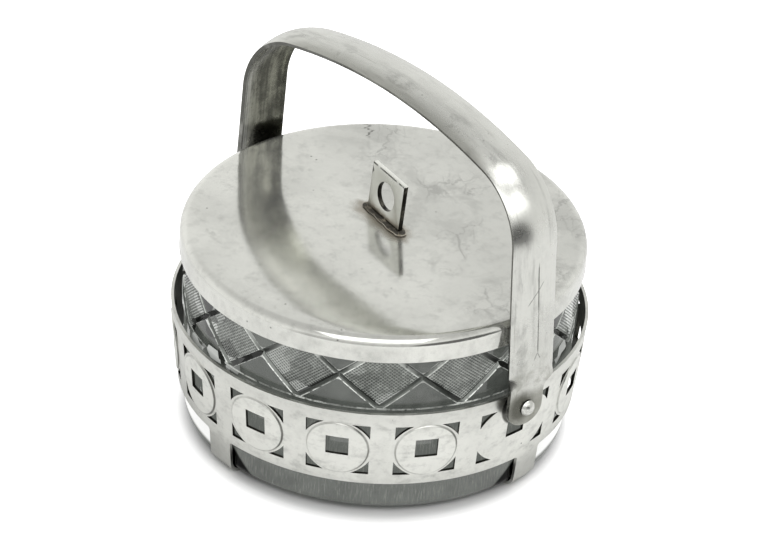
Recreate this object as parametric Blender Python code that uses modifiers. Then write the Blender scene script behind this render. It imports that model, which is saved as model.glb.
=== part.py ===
"""Covered cut-glass bowl in a pierced metal holder with a swing handle.

Metres, +Z up. The origin is on the table under the middle of the bowl, and the
handle's pivot axis runs along X.
"""
import math

import bmesh
import bpy
from mathutils import Matrix, Vector

# Clearances
SEAT_GAP = 0.0003            # between pieces that touch
RIVET_FIT = 0.0003           # round a rivet's shank
LID_FIT = 0.0005             # between the lid's skirt and the glass
HOLDER_FIT = 0.0023          # between the glass and the top of the band
FOOT_FIT = 0.0004            # between the foot of the glass and the legs
LIFT_ROOM = 0.0332           # free height between the tab and the handle

# Glass bowl
GLASS_RADIUS = 0.0586        # outside of the cut wall
GLASS_HEIGHT = 0.0596
GLASS_WALL = 0.0050
GLASS_FLOOR = 0.0060
GLASS_FILLET = 0.0060        # inside, where the wall meets the floor
GLASS_EASE = 0.0008          # eased inner edge of the rim
DIAMOND_COUNT = 15           # cut diamonds in one turn
DIAMOND_HEIGHT = 0.0204
DIAMOND_LOW_TIP = 0.0366     # lower tips, above the base of the glass
DIAMOND_PHASE = 19.4         # degrees from +X to the first crossing of the cuts
MITRE_DEPTH = 0.0011
MITRE_SECOND_DEPTH = 0.0012  # the second set of cuts, across the first
MITRE_HALF_WIDTH = 0.0016
RIDGE_STEP = 0.0003          # step under the diamonds

# Holder: a pierced strip rolled into a slightly tapered ring on four legs
BAND_HEIGHT = 0.0258
BAND_TAPER = 0.0028          # radius lost from the top edge to the bottom edge
BAND_SHEET = 0.0009
LEG_HEIGHT = 0.0117          # bottom edge of the band above the table
LEG_WIDTH = 0.0098
LEG_FILLET = 0.0010
LEG_BEND = 0.0036            # radius at the middle of the sheet
PIVOT_LEG_TURN = 7.7         # degrees from a pivot to the leg beside it
SIDE_LEG_TURN = -2.8         # degrees from halfway between the pivots to the other legs
TOE_LENGTH = 0.0105
TOE_CORNER = 0.0020
SIDE_PANELS = 6              # round panels between the pivots, on each side
PIVOT_STEP = 28.2            # degrees from a pivot to the next round panel
PANEL_WIDTH = 0.0188
PIVOT_PANEL_WIDTH = 0.0262
PANEL_HEIGHT = 0.0180
PANEL_DROP = 0.0005          # panels sit this much below the middle of the band
CORNER_WIDTH = 0.0053
CORNER_HEIGHT = 0.0049
CORNER_BOW = 0.00025          # of a corner hole's long side
EYE_WIDTH = 0.0067
EYE_HEIGHT = 0.0064

# Pivots
PIVOT_TURN = 1.34            # degrees that both pivots sit towards +Y of a diameter
PIVOT_DROP = 0.0042          # below the top edge of the band
SPACER_RADIUS = 0.0040
SPACER_THICKNESS = 0.0011
RIVET_RADIUS = 0.0015
RIVET_HEAD_RADIUS = 0.0025
RIVET_HEAD_HEIGHT = 0.0016
RIVET_TAIL_RADIUS = 0.0024
RIVET_TAIL_HEIGHT = 0.0006

# Handle: a domed strap with a flat round-ended tongue at each pivot
STRAP_WIDTH = 0.0164
STRAP_SHEET = 0.0012
STRAP_DOME = 0.0018
TONGUE_WIDTH = 0.0128
TONGUE_TIP = 0.0054          # below the pivot
SHOULDER_LOW = 0.0062        # above the pivot, where the tongue starts to widen
SHOULDER_HIGH = 0.0088       # above the pivot, where the strap has its full width
LEG_STRAIGHT = 0.0120        # upright part of the strap above the pivot
LEG_LEAN = 2.2               # degrees that the strap leans in from there to its bend
BEND_RADIUS = 0.0222
ARCH_START = 72.9            # degrees from upright where the arched top starts
HANDLE_LEAN = 3.9            # degrees that the resting handle leans towards +Y

# Lid
LID_SKIRT = 0.0080
LID_SHEET = 0.0009
LID_CORNER = 0.0030
TAB_WIDTH = 0.0166
TAB_HEIGHT = 0.0155
TAB_THICKNESS = 0.0016
TAB_HOLE = 0.0095
TAB_SET_BACK = 0.0042        # from the lid's middle
TAB_SET_BACK_TURN = 137.8    # degrees, the direction of that offset
TAB_TURN = -7.7              # degrees from the handle's plane
SOLDER_MARGIN = 0.0014       # bead beyond the tab all round
SOLDER_HEIGHT = 0.0010

# Derived radii
LID_RADIUS = GLASS_RADIUS + LID_FIT + LID_SHEET
BAND_RADIUS = GLASS_RADIUS + HOLDER_FIT + BAND_SHEET
STRIP_RADIUS = BAND_RADIUS - (BAND_TAPER + BAND_SHEET) / 2
TONGUE_RADIUS = TONGUE_WIDTH / 2

# The outer edge of the glass's rim follows the inside of the lid's corner
LID_INSIDE = max(LID_CORNER - LID_SHEET, LID_SHEET / 4)
RIM_ROUND = max(LID_INSIDE - SEAT_GAP, SEAT_GAP)

# Legs: the flat length from the band to the bend, and the radius where the toe starts
BAND_SLOPE = math.atan2(BAND_TAPER, BAND_HEIGHT)
LEG_LOW = BAND_SHEET / 2 + LEG_BEND * (1 - math.sin(BAND_SLOPE))
LEG_FLAT = (LEG_HEIGHT - LEG_LOW) / math.cos(BAND_SLOPE)
LEG_CURL = LEG_BEND * (math.pi / 2 - BAND_SLOPE)
BAND_FOOT = BAND_RADIUS - BAND_TAPER - BAND_SHEET / 2
TOE_START = BAND_FOOT - LEG_FLAT * math.sin(BAND_SLOPE) - LEG_BEND * math.cos(BAND_SLOPE)

# The foot of the glass follows the bends of the legs
FOOT_RADIUS = TOE_START + LEG_BEND - BAND_SHEET / 2 - FOOT_FIT
FOOT_ROUND = LEG_BEND - BAND_SHEET / 2 - SEAT_GAP

# Derived heights above the table
GLASS_BASE = BAND_SHEET + SEAT_GAP
GLASS_RIM = GLASS_BASE + GLASS_HEIGHT
RIDGE = GLASS_BASE + DIAMOND_LOW_TIP
CROSSING = RIDGE + DIAMOND_HEIGHT / 2
LID_TOP = GLASS_RIM + SEAT_GAP + LID_SHEET
TAB_BASE = LID_TOP + SEAT_GAP
TAB_TOP = TAB_BASE + TAB_HEIGHT
BAND_TOP = LEG_HEIGHT + BAND_HEIGHT
PIVOT = BAND_TOP - PIVOT_DROP
STRAP_CROWN = TAB_TOP + LIFT_ROOM + STRAP_SHEET / 2

# Places of the pivot axis, and along it from the band outwards
PIVOT_SIDE = BAND_RADIUS * math.sin(math.radians(PIVOT_TURN))
SPACER_IN = BAND_RADIUS + SEAT_GAP
TONGUE_IN = SPACER_IN + SPACER_THICKNESS + SEAT_GAP
STRAP_MIDDLE = TONGUE_IN + STRAP_SHEET / 2
HEAD_SEAT = TONGUE_IN + STRAP_SHEET + SEAT_GAP
TAIL_SEAT = (BAND_RADIUS - BAND_SHEET - SEAT_GAP
             - BAND_TAPER * (PIVOT_DROP + RIVET_TAIL_RADIUS) / BAND_HEIGHT)

# Facets
ROUND_STEPS = 64
BAND_SLICES = 56
SMALL_STEPS = 16
MERGE = 0.00001

WHITE_METAL = (0.62, 0.62, 0.59)
HANDLE_METAL = (0.66, 0.66, 0.63)
RIVET_METAL = (0.58, 0.58, 0.55)
SOLDER_METAL = (0.30, 0.26, 0.20)
CUT_GLASS = (0.55, 0.58, 0.55)


def clear_scene():
    for obj in list(bpy.data.objects):
        bpy.data.objects.remove(obj, do_unlink=True)


def collection(name):
    group = bpy.data.collections.new(name)
    bpy.context.scene.collection.children.link(group)
    return group


def material(name, colour, roughness, metallic):
    made = bpy.data.materials.new(name)
    made.use_nodes = True
    shader = made.node_tree.nodes["Principled BSDF"]
    shader.inputs["Base Color"].default_value = (*colour, 1.0)
    shader.inputs["Roughness"].default_value = roughness
    shader.inputs["Metallic"].default_value = metallic
    return made


def add_object(name, mesh, group, finish=None):
    obj = bpy.data.objects.new(name, mesh)
    group.objects.link(obj)
    if finish:
        mesh.materials.append(finish)
    return obj


def mesh_from(bm, name):
    mesh = bpy.data.meshes.new(name)
    bm.to_mesh(mesh)
    bm.free()
    mesh.shade_smooth()
    mesh.set_sharp_from_angle(angle=math.radians(30))
    return mesh


def mark_cutter(obj):
    obj.hide_render = True
    obj.display_type = "WIRE"


def cut(obj, cutter):
    """Take a cutter's volume out of an object."""
    modifier = obj.modifiers.new("Cut " + cutter.name, "BOOLEAN")
    modifier.operation = "DIFFERENCE"
    modifier.solver = "EXACT"
    modifier.object = cutter


def arc(centre, radius, start, end, steps):
    """Points on an arc, angles in degrees, both ends included."""
    points = []
    for i in range(steps + 1):
        angle = math.radians(start + (end - start) * i / steps)
        points.append((centre[0] + radius * math.cos(angle), centre[1] + radius * math.sin(angle)))
    return points


def turned(name, profile, steps, group, finish, closed=False):
    """A profile of (radius, height) points, down its outer side, turned about local Z."""
    bm = bmesh.new()
    verts = [bm.verts.new((r, 0.0, z)) for r, z in profile]
    pairs = list(zip(verts, verts[1:]))
    if closed:
        pairs.append((verts[-1], verts[0]))
    for a, b in pairs:
        bm.edges.new((a, b))
    obj = add_object(name, mesh_from(bm, name), group, finish)
    screw = obj.modifiers.new("Turn", "SCREW")
    screw.axis = "Z"
    screw.steps = steps
    screw.render_steps = steps
    screw.use_merge_vertices = True
    screw.merge_threshold = MERGE
    return obj


def flat_plate(outlines, thickness):
    """A bmesh plate from closed outlines, the first one outside and the rest holes."""
    curve = bpy.data.curves.new("outline", "CURVE")
    curve.dimensions = "2D"
    curve.fill_mode = "BOTH"
    curve.extrude = thickness / 2
    for outline in outlines:
        spline = curve.splines.new("POLY")
        spline.points.add(len(outline) - 1)
        for point, (x, y) in zip(spline.points, outline):
            point.co = (x, y, 0.0, 1.0)
        spline.use_cyclic_u = True
    obj = bpy.data.objects.new("outline", curve)
    bpy.context.scene.collection.objects.link(obj)
    bpy.context.view_layer.update()
    mesh = bpy.data.meshes.new_from_object(obj.evaluated_get(bpy.context.evaluated_depsgraph_get()))
    bpy.data.objects.remove(obj)
    bm = bmesh.new()
    bm.from_mesh(mesh)
    bmesh.ops.remove_doubles(bm, verts=bm.verts, dist=MERGE)
    return bm


# Glass bowl

def glass_profile():
    inner_top = GLASS_RADIUS - GLASS_WALL
    inner_foot = FOOT_RADIUS - GLASS_WALL
    floor = GLASS_BASE + GLASS_FLOOR
    fillet = arc((inner_foot - GLASS_FILLET, floor + GLASS_FILLET), GLASS_FILLET, -90, 0, 4)
    rim = arc((GLASS_RADIUS - RIM_ROUND, GLASS_RIM - RIM_ROUND), RIM_ROUND, 90, 0, 2)
    foot = arc((FOOT_RADIUS - FOOT_ROUND, GLASS_BASE + FOOT_ROUND), FOOT_ROUND, 0, -90, 4)
    return [
        (0.0, floor),
        *fillet,
        (inner_top, GLASS_RIM - GLASS_EASE),
        (inner_top + GLASS_EASE, GLASS_RIM),
        *rim,
        (GLASS_RADIUS, RIDGE),
        (GLASS_RADIUS - RIDGE_STEP, RIDGE - RIDGE_STEP),
        *foot,
        (0.0, GLASS_BASE),
    ]


def mitre_cutters(name, hand, depth, group):
    """One V-shaped helical cut for each diamond, leaning right (hand 1) or left (hand -1)."""
    steps = 5
    overrun = 1.06
    turn = math.radians(360.0 / DIAMOND_COUNT) * overrun
    rise = DIAMOND_HEIGHT * overrun
    reach = 1.5
    bm = bmesh.new()
    for k in range(DIAMOND_COUNT):
        crossing = math.radians(DIAMOND_PHASE + k * 360.0 / DIAMOND_COUNT)
        low = CROSSING - rise / 2
        section = [(GLASS_RADIUS - depth, low),
                   (GLASS_RADIUS + depth * (reach - 1), low - MITRE_HALF_WIDTH * reach),
                   (GLASS_RADIUS + depth * (reach - 1), low + MITRE_HALF_WIDTH * reach)]
        verts = [bm.verts.new((r, 0.0, z)) for r, z in section]
        face = bm.faces.new(verts)
        start = Matrix.Rotation(crossing - hand * turn / 2, 3, "Z")
        bmesh.ops.rotate(bm, verts=verts, cent=(0, 0, 0), matrix=start)
        bmesh.ops.spin(bm, geom=[face], cent=(0, 0, 0), axis=(0, 0, 1),
                       dvec=(0, 0, rise / steps), angle=hand * turn, steps=steps)
    bmesh.ops.recalc_face_normals(bm, faces=bm.faces)
    obj = add_object(name, mesh_from(bm, name), group)
    mark_cutter(obj)
    return obj


def make_glass_bowl(parts, cutters, finish):
    obj = turned("glass_bowl", glass_profile(), ROUND_STEPS, parts, finish)
    cut(obj, mitre_cutters("mitre_cuts_right", 1, MITRE_DEPTH, cutters))
    cut(obj, mitre_cutters("mitre_cuts_left", -1, MITRE_SECOND_DEPTH, cutters))
    return obj


# Holder band

def panel_angles():
    """Degrees of the round panels, from one pivot round to the same pivot."""
    step = (180.0 - 2 * PIVOT_STEP) / (SIDE_PANELS - 1)
    side = [PIVOT_TURN + PIVOT_STEP + i * step for i in range(SIDE_PANELS)]
    return side + [180.0 + angle for angle in side]


def seam_angle():
    """Degrees of the strip's joint, in a plain bar two panels short of the far pivot."""
    angles = panel_angles()
    return (angles[SIDE_PANELS - 3] + angles[SIDE_PANELS - 2]) / 2


def pivot_angles():
    return [PIVOT_TURN, 180.0 - PIVOT_TURN]


def along_strip(angle):
    """Distance from the strip's end to an angle in degrees."""
    return math.radians((angle - seam_angle()) % 360.0) * STRIP_RADIUS


def leg_angles():
    beside = PIVOT_TURN + PIVOT_LEG_TURN
    between = PIVOT_TURN + 90.0 + SIDE_LEG_TURN
    return [beside, between, 180.0 + beside, 180.0 + between]


def leg_outline(middle):
    """Down, across and up again round one leg, with its toe still flat."""
    half = LEG_WIDTH / 2
    end = -(LEG_FLAT + LEG_CURL + TOE_LENGTH)
    left, right = middle - half, middle + half
    return [
        *arc((left - LEG_FILLET, -LEG_FILLET), LEG_FILLET, 90, 0, 3),
        *arc((left + TOE_CORNER, end + TOE_CORNER), TOE_CORNER, 180, 270, 3),
        *arc((right - TOE_CORNER, end + TOE_CORNER), TOE_CORNER, 270, 360, 3),
        *arc((right + LEG_FILLET, -LEG_FILLET), LEG_FILLET, 180, 90, 3),
    ]


def strip_outline():
    length = 2 * math.pi * STRIP_RADIUS
    height = BAND_HEIGHT / math.cos(BAND_SLOPE)
    outline = [(0.0, 0.0)]
    for middle in sorted(along_strip(angle) for angle in leg_angles()):
        outline += leg_outline(middle)
    return outline + [(length, 0.0), (length, height), (0.0, height)]


def corner_hole(x, y, width, side_x, side_y):
    """A three-sided hole in one corner of a panel, its long side bowed towards the corner."""
    corner = Vector((width / 2, PANEL_HEIGHT / 2))
    start = corner - Vector((CORNER_WIDTH, 0.0))
    end = corner - Vector((0.0, CORNER_HEIGHT))
    bow = (corner - (start + end) / 2).normalized() * CORNER_BOW
    points = [corner]
    steps = 4
    for i in range(steps + 1):
        share = i / steps
        points.append(start.lerp(end, share) + bow * 4 * share * (1 - share))
    return [(x + side_x * point.x, y + side_y * point.y) for point in points]


def panel_holes(x, width):
    y = BAND_HEIGHT / math.cos(BAND_SLOPE) / 2 - PANEL_DROP
    half_w, half_h = EYE_WIDTH / 2, EYE_HEIGHT / 2
    eye = [(x - half_w, y - half_h), (x + half_w, y - half_h),
           (x + half_w, y + half_h), (x - half_w, y + half_h)]
    corners = [corner_hole(x, y, width, i, j) for i in (-1, 1) for j in (-1, 1)]
    return [eye, *corners]


def strip_holes():
    holes = []
    for angle in panel_angles():
        holes += panel_holes(along_strip(angle), PANEL_WIDTH)
    rivet_y = (BAND_HEIGHT - PIVOT_DROP) / math.cos(BAND_SLOPE)
    for angle in pivot_angles():
        x = along_strip(angle)
        holes += panel_holes(x, PIVOT_PANEL_WIDTH)
        holes.append(arc((x, rivet_y), RIVET_RADIUS + RIVET_FIT, 0, 330, 11))
    return holes


def strip_section(height, depth):
    """Radius and height of a point of the strip after rolling, from its flat height and depth."""
    out = Vector((math.cos(BAND_SLOPE), -math.sin(BAND_SLOPE)))
    up = Vector((math.sin(BAND_SLOPE), math.cos(BAND_SLOPE)))
    below = -height - LEG_FLAT
    if below <= 0:
        return Vector((BAND_FOOT, LEG_HEIGHT)) + up * height + out * depth
    centre = Vector((TOE_START, BAND_SHEET / 2 + LEG_BEND))
    turn = min(below, LEG_CURL) / LEG_BEND
    angle = -BAND_SLOPE - turn
    out = Vector((math.cos(angle), math.sin(angle)))
    inward = below - LEG_BEND * turn
    return centre + out * (LEG_BEND + depth) + Vector((-inward, 0.0))


def slice_strip(bm):
    """Cut the flat strip across at even steps, and its legs along their bends."""
    length = 2 * math.pi * STRIP_RADIUS
    planes = [((length * i / BAND_SLICES, 0, 0), (1, 0, 0)) for i in range(1, BAND_SLICES)]
    planes += [((0, -LEG_FLAT - LEG_CURL * i / 4, 0), (0, 1, 0)) for i in range(5)]
    for point, normal in planes:
        geom = bm.verts[:] + bm.edges[:] + bm.faces[:]
        bmesh.ops.bisect_plane(bm, geom=geom, dist=1e-7, plane_co=point, plane_no=normal)


def open_ends(bm):
    """Remove the strip's two end faces, so that the ends can be joined."""
    length = 2 * math.pi * STRIP_RADIUS
    ends = [face for face in bm.faces
            if all(v.co.x < MERGE for v in face.verts)
            or all(v.co.x > length - MERGE for v in face.verts)]
    bmesh.ops.delete(bm, geom=ends, context="FACES")


def make_holder_band(parts, finish):
    bm = flat_plate([strip_outline(), *strip_holes()], BAND_SHEET)
    slice_strip(bm)
    open_ends(bm)
    for vert in bm.verts:
        radius, height = strip_section(vert.co.y, vert.co.z)
        angle = math.radians(seam_angle()) + vert.co.x / STRIP_RADIUS
        vert.co = (radius * math.cos(angle), radius * math.sin(angle), height)
    bmesh.ops.remove_doubles(bm, verts=bm.verts, dist=MERGE)
    bmesh.ops.recalc_face_normals(bm, faces=bm.faces)
    return add_object("holder_band", mesh_from(bm, "holder_band"), parts, finish)


# Pivots

def place_on_pivot(obj, side):
    """Stand a turned piece on the pivot axis, its local Z pointing outwards."""
    obj.rotation_euler = (0.0, side * math.pi / 2, 0.0)
    obj.location = (0.0, PIVOT_SIDE, PIVOT)


def make_rivet(name, side, parts, finish):
    dome = (RIVET_HEAD_RADIUS ** 2 + RIVET_HEAD_HEIGHT ** 2) / (2 * RIVET_HEAD_HEIGHT)
    half = math.degrees(math.asin(min(RIVET_HEAD_RADIUS / dome, 1.0)))
    head = arc((0.0, HEAD_SEAT + RIVET_HEAD_HEIGHT - dome), dome, 90, 90 - half, 4)
    profile = [
        (0.0, head[0][1]),
        *head[1:],
        (RIVET_RADIUS, HEAD_SEAT),
        (RIVET_RADIUS, TAIL_SEAT),
        (RIVET_TAIL_RADIUS, TAIL_SEAT),
        (RIVET_TAIL_RADIUS, TAIL_SEAT - RIVET_TAIL_HEIGHT / 2),
        (RIVET_TAIL_RADIUS / 2, TAIL_SEAT - RIVET_TAIL_HEIGHT),
        (0.0, TAIL_SEAT - RIVET_TAIL_HEIGHT),
    ]
    obj = turned(name, profile, SMALL_STEPS, parts, finish)
    place_on_pivot(obj, side)


def make_spacer(name, side, parts, finish):
    hole = RIVET_RADIUS + RIVET_FIT
    profile = [
        (SPACER_RADIUS, SPACER_IN + SPACER_THICKNESS),
        (SPACER_RADIUS, SPACER_IN),
        (hole, SPACER_IN),
        (hole, SPACER_IN + SPACER_THICKNESS),
    ]
    obj = turned(name, profile, SMALL_STEPS, parts, finish, closed=True)
    place_on_pivot(obj, side)


# Handle

def smooth(share):
    share = min(max(share, 0.0), 1.0)
    return share * share * (3 - 2 * share)


def tongue_rows():
    """(height above the pivot, half width, dome) from the tongue's tip up to the upright strap."""
    rows = []
    for i in range(6):
        angle = math.radians(80 - 16 * i)
        rows.append((-TONGUE_TIP * math.sin(angle), TONGUE_RADIUS * math.cos(angle), 0.0))
    for share in (0.0, 0.5, 1.0):
        height = SHOULDER_LOW + (SHOULDER_HIGH - SHOULDER_LOW) * share
        half = TONGUE_RADIUS + (STRAP_WIDTH / 2 - TONGUE_RADIUS) * smooth(share)
        rows.append((height, half, STRAP_DOME * share / 2))
    rows.append((SHOULDER_HIGH + (SHOULDER_HIGH - SHOULDER_LOW), STRAP_WIDTH / 2, STRAP_DOME))
    return rows


def strap_path():
    """Half of the strap's middle line as (x, z, angle from upright), pivot leg to crown."""
    lean, arch, quarter = math.radians(LEG_LEAN), math.radians(ARCH_START), math.pi / 2
    # The leg's length and the top's radius are the two that reach the crown in the middle.
    across = STRAP_MIDDLE - BEND_RADIUS * (math.cos(lean) - math.cos(arch))
    upwards = STRAP_CROWN - PIVOT - LEG_STRAIGHT - BEND_RADIUS * (math.sin(arch) - math.sin(lean))
    a, b = math.sin(lean), math.cos(arch)
    c, d = math.cos(lean), 1 - math.sin(arch)
    leg = (across * d - b * upwards) / (a * d - b * c)
    crown = (a * upwards - c * across) / (a * d - b * c)
    x, z = STRAP_MIDDLE, PIVOT + LEG_STRAIGHT
    path = [(x, z, lean / 2)]
    for i in (1, 2):
        path.append((x - leg * a * i / 2, z + leg * c * i / 2, lean))
    for radius, start, end, steps in ((BEND_RADIUS, lean, arch, 9), (crown, arch, quarter, 6)):
        x, z, _ = path[-1]
        for i in range(1, steps + 1):
            angle = start + (end - start) * i / steps
            path.append((x - radius * (math.cos(start) - math.cos(angle)),
                         z + radius * (math.sin(angle) - math.sin(start)), angle))
    path[-1] = (0.0, path[-1][1], quarter)
    return path


def make_handle(parts, cutters, finish):
    """Half of the strap as a domed sheet, mirrored, thickened and drilled, hung on its pivot axis."""
    columns = [-1.0, -0.6, -0.2, 0.2, 0.6, 1.0]
    rows = [(STRAP_MIDDLE, height, 0.0, half, dome) for height, half, dome in tongue_rows()]
    rows += [(x, z - PIVOT, angle, STRAP_WIDTH / 2, STRAP_DOME) for x, z, angle in strap_path()]
    bm = bmesh.new()
    grid = []
    for x, z, angle, half, dome in rows:
        line = []
        for t in columns:
            drop = dome * t * t
            on_plane = angle == math.pi / 2
            px = 0.0 if on_plane else x - drop * math.cos(angle)
            line.append(bm.verts.new((px, t * half, z - drop * math.sin(angle))))
        grid.append(line)
    for low, high in zip(grid, grid[1:]):
        for i in range(len(columns) - 1):
            bm.faces.new((low[i], low[i + 1], high[i + 1], high[i]))
    obj = add_object("bail_handle", mesh_from(bm, "bail_handle"), parts, finish)
    obj.location = (0.0, PIVOT_SIDE, PIVOT)
    obj.rotation_euler.x = -math.radians(HANDLE_LEAN)
    mirror = obj.modifiers.new("Other leg", "MIRROR")
    mirror.use_axis = (True, False, False)
    mirror.merge_threshold = MERGE
    sheet = obj.modifiers.new("Sheet", "SOLIDIFY")
    sheet.thickness = STRAP_SHEET
    sheet.offset = 0.0
    sheet.use_even_offset = True
    cut(obj, make_pivot_drill(cutters))
    return obj


def make_pivot_drill(cutters):
    """One long drill along the pivot axis, for both tongues."""
    bm = bmesh.new()
    radius = RIVET_RADIUS + RIVET_FIT
    bmesh.ops.create_cone(bm, cap_ends=True, segments=SMALL_STEPS, radius1=radius, radius2=radius,
                          depth=4 * STRAP_MIDDLE)
    bmesh.ops.rotate(bm, verts=bm.verts, cent=(0, 0, 0), matrix=Matrix.Rotation(math.pi / 2, 3, "Y"))
    obj = add_object("pivot_drill", mesh_from(bm, "pivot_drill"), cutters)
    obj.location = (0.0, PIVOT_SIDE, PIVOT)
    mark_cutter(obj)
    return obj


# Lid

def make_lid(parts, finish):
    inner_radius = LID_RADIUS - LID_SHEET
    skirt_foot = LID_TOP - LID_SKIRT
    corner = arc((LID_RADIUS - LID_CORNER, LID_TOP - LID_CORNER), LID_CORNER, 90, 0, 4)
    inside = arc((inner_radius - LID_INSIDE, LID_TOP - LID_SHEET - LID_INSIDE), LID_INSIDE, 0, 90, 3)
    profile = [
        (0.0, LID_TOP),
        *corner,
        (LID_RADIUS, skirt_foot),
        (inner_radius, skirt_foot),
        *inside,
        (0.0, LID_TOP - LID_SHEET),
    ]
    return turned("lid", profile, ROUND_STEPS, parts, finish)


def tab_place():
    """Where the tab stands on the lid, turned to its own direction."""
    turn = math.radians(TAB_SET_BACK_TURN)
    x, y = TAB_SET_BACK * math.cos(turn), TAB_SET_BACK * math.sin(turn)
    return Matrix.Translation((x, y, TAB_BASE)) @ Matrix.Rotation(math.radians(TAB_TURN), 4, "Z")


def make_lid_tab(parts, finish):
    half = TAB_WIDTH / 2
    outline = [(-half, 0.0), (half, 0.0), (half, TAB_HEIGHT), (-half, TAB_HEIGHT)]
    hole = arc((0.0, TAB_HEIGHT / 2), TAB_HOLE / 2, 0, 345, 23)
    bm = flat_plate([outline, hole], TAB_THICKNESS)
    bmesh.ops.rotate(bm, verts=bm.verts, cent=(0, 0, 0), matrix=Matrix.Rotation(math.pi / 2, 3, "X"))
    bmesh.ops.recalc_face_normals(bm, faces=bm.faces)
    obj = add_object("lid_tab", mesh_from(bm, "lid_tab"), parts, finish)
    obj.matrix_world = tab_place()
    return obj


def bead_outline(margin):
    """A slot-shaped outline that stands off the tab's foot by a margin."""
    half = TAB_WIDTH / 2
    radius = TAB_THICKNESS / 2 + margin
    return arc((half, 0.0), radius, -90, 90, 6) + arc((-half, 0.0), radius, 90, 270, 6)


def make_tab_solder(parts, finish):
    """The bead of solder round the tab's foot, with a slot for the tab."""
    half_x, half_y = TAB_WIDTH / 2 + SEAT_GAP, TAB_THICKNESS / 2 + SEAT_GAP
    slot = [(-half_x, -half_y), (half_x, -half_y), (half_x, half_y), (-half_x, half_y)]
    bm = flat_plate([bead_outline(SOLDER_MARGIN), slot], SOLDER_HEIGHT)
    foot = Vector((0.0, 0.0, SOLDER_HEIGHT / 2))
    bmesh.ops.translate(bm, verts=bm.verts, vec=foot)
    crest = (TAB_THICKNESS / 2 + SEAT_GAP * 2) / (TAB_THICKNESS / 2 + SOLDER_MARGIN)
    for vert in bm.verts:
        if vert.co.z > SOLDER_HEIGHT / 2 and not inside_slot(vert.co, half_x, half_y):
            end = math.copysign(TAB_WIDTH / 2, vert.co.x)
            vert.co.x = end + (vert.co.x - end) * crest
            vert.co.y *= crest
    bmesh.ops.recalc_face_normals(bm, faces=bm.faces)
    obj = add_object("tab_solder", mesh_from(bm, "tab_solder"), parts, finish)
    obj.matrix_world = tab_place()
    return obj


def inside_slot(point, half_x, half_y):
    return abs(point.x) <= half_x + MERGE and abs(point.y) <= half_y + MERGE


def main():
    clear_scene()
    parts = collection("covered_glass_bowl")
    cutters = collection("cutters")
    plate = material("white_metal", WHITE_METAL, 0.30, 1.0)
    strap = material("handle_metal", HANDLE_METAL, 0.28, 1.0)
    rivet = material("rivet_metal", RIVET_METAL, 0.35, 1.0)
    solder = material("solder", SOLDER_METAL, 0.55, 0.8)
    glass = material("cut_glass", CUT_GLASS, 0.05, 0.0)
    make_holder_band(parts, plate)
    make_glass_bowl(parts, cutters, glass)
    for name, side in (("near", 1), ("far", -1)):
        make_spacer("pivot_spacer_" + name, side, parts, plate)
        make_rivet("pivot_rivet_" + name, side, parts, rivet)
    make_handle(parts, cutters, strap)
    make_lid(parts, plate)
    make_lid_tab(parts, plate)
    make_tab_solder(parts, solder)


main()
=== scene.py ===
import math

import bmesh
import bpy
from bmesh.types import BMEdge, BMFace, BMVert
from mathutils import Matrix, Vector


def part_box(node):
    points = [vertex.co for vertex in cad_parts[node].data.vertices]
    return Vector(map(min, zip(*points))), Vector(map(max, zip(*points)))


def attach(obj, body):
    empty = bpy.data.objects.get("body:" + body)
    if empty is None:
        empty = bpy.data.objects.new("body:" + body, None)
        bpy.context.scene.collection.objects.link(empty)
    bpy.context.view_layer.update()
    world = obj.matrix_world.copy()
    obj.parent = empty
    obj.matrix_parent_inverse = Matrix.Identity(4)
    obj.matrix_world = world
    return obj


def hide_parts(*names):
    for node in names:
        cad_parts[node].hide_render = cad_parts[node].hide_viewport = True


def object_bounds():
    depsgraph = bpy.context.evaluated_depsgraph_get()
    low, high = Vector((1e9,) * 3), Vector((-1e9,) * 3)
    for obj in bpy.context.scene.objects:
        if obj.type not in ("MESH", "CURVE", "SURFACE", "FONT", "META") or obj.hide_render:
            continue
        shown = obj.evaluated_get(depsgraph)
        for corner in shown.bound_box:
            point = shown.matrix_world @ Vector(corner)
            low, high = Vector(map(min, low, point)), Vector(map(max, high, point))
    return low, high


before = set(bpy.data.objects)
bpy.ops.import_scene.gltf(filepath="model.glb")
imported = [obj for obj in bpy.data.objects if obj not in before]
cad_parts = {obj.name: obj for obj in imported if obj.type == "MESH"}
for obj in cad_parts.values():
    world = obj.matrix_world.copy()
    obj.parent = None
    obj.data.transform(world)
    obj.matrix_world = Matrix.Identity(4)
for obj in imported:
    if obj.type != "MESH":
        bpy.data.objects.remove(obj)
cad_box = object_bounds()
scene = bpy.context.scene

# Lengths are in metres unless a comment says otherwise.

# Camera, fitted to the photograph
PHOTO_WIDTH = 765  # pixels
FOCAL_LENGTH = 6780.0  # pixels
SENSOR_WIDTH = 36.0  # millimetres
CAMERA_DISTANCE = 2.0
CAMERA_AZIMUTH = 47.82  # degrees, 0 looks along +Y
CAMERA_ELEVATION = 32.47
CAMERA_ROLL = 3.38
AIM_HEIGHT = 0.0460
AIM_RIGHT = 0.00034
TOWARDS_CAMERA = Vector((0.743, -0.669, 0.0))

# Studio
FLOOR_REACH = 0.7
FLOOR_DROP = 0.0002  # keeps the floor clear of the toes
FLOOR_TONES = ((0.79, 0.79, 0.79), (0.81, 0.81, 0.81))
SHADOW_AHEAD = 0.0050  # the floor's dark ring is off the middle, towards the camera
FLOOR_GLOW = 0.50  # added to the floor for the camera, which sees it white
FLOOR_BEYOND = 0.45  # the same, away from the jar
FLOOR_REFLECTED = 0.26  # added to the floor in reflections
ROOM_COLOUR = (1.0, 1.0, 0.985)
ROOM_LIGHT = 0.55
ROOM_WHITE = 1.0
ROOM_TOP = 0.60
ROOM_BEHIND = 0.42  # taken off low down behind the camera
ROOM_BESIDE = 0.96  # taken off low down on the near side of the handle
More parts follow.
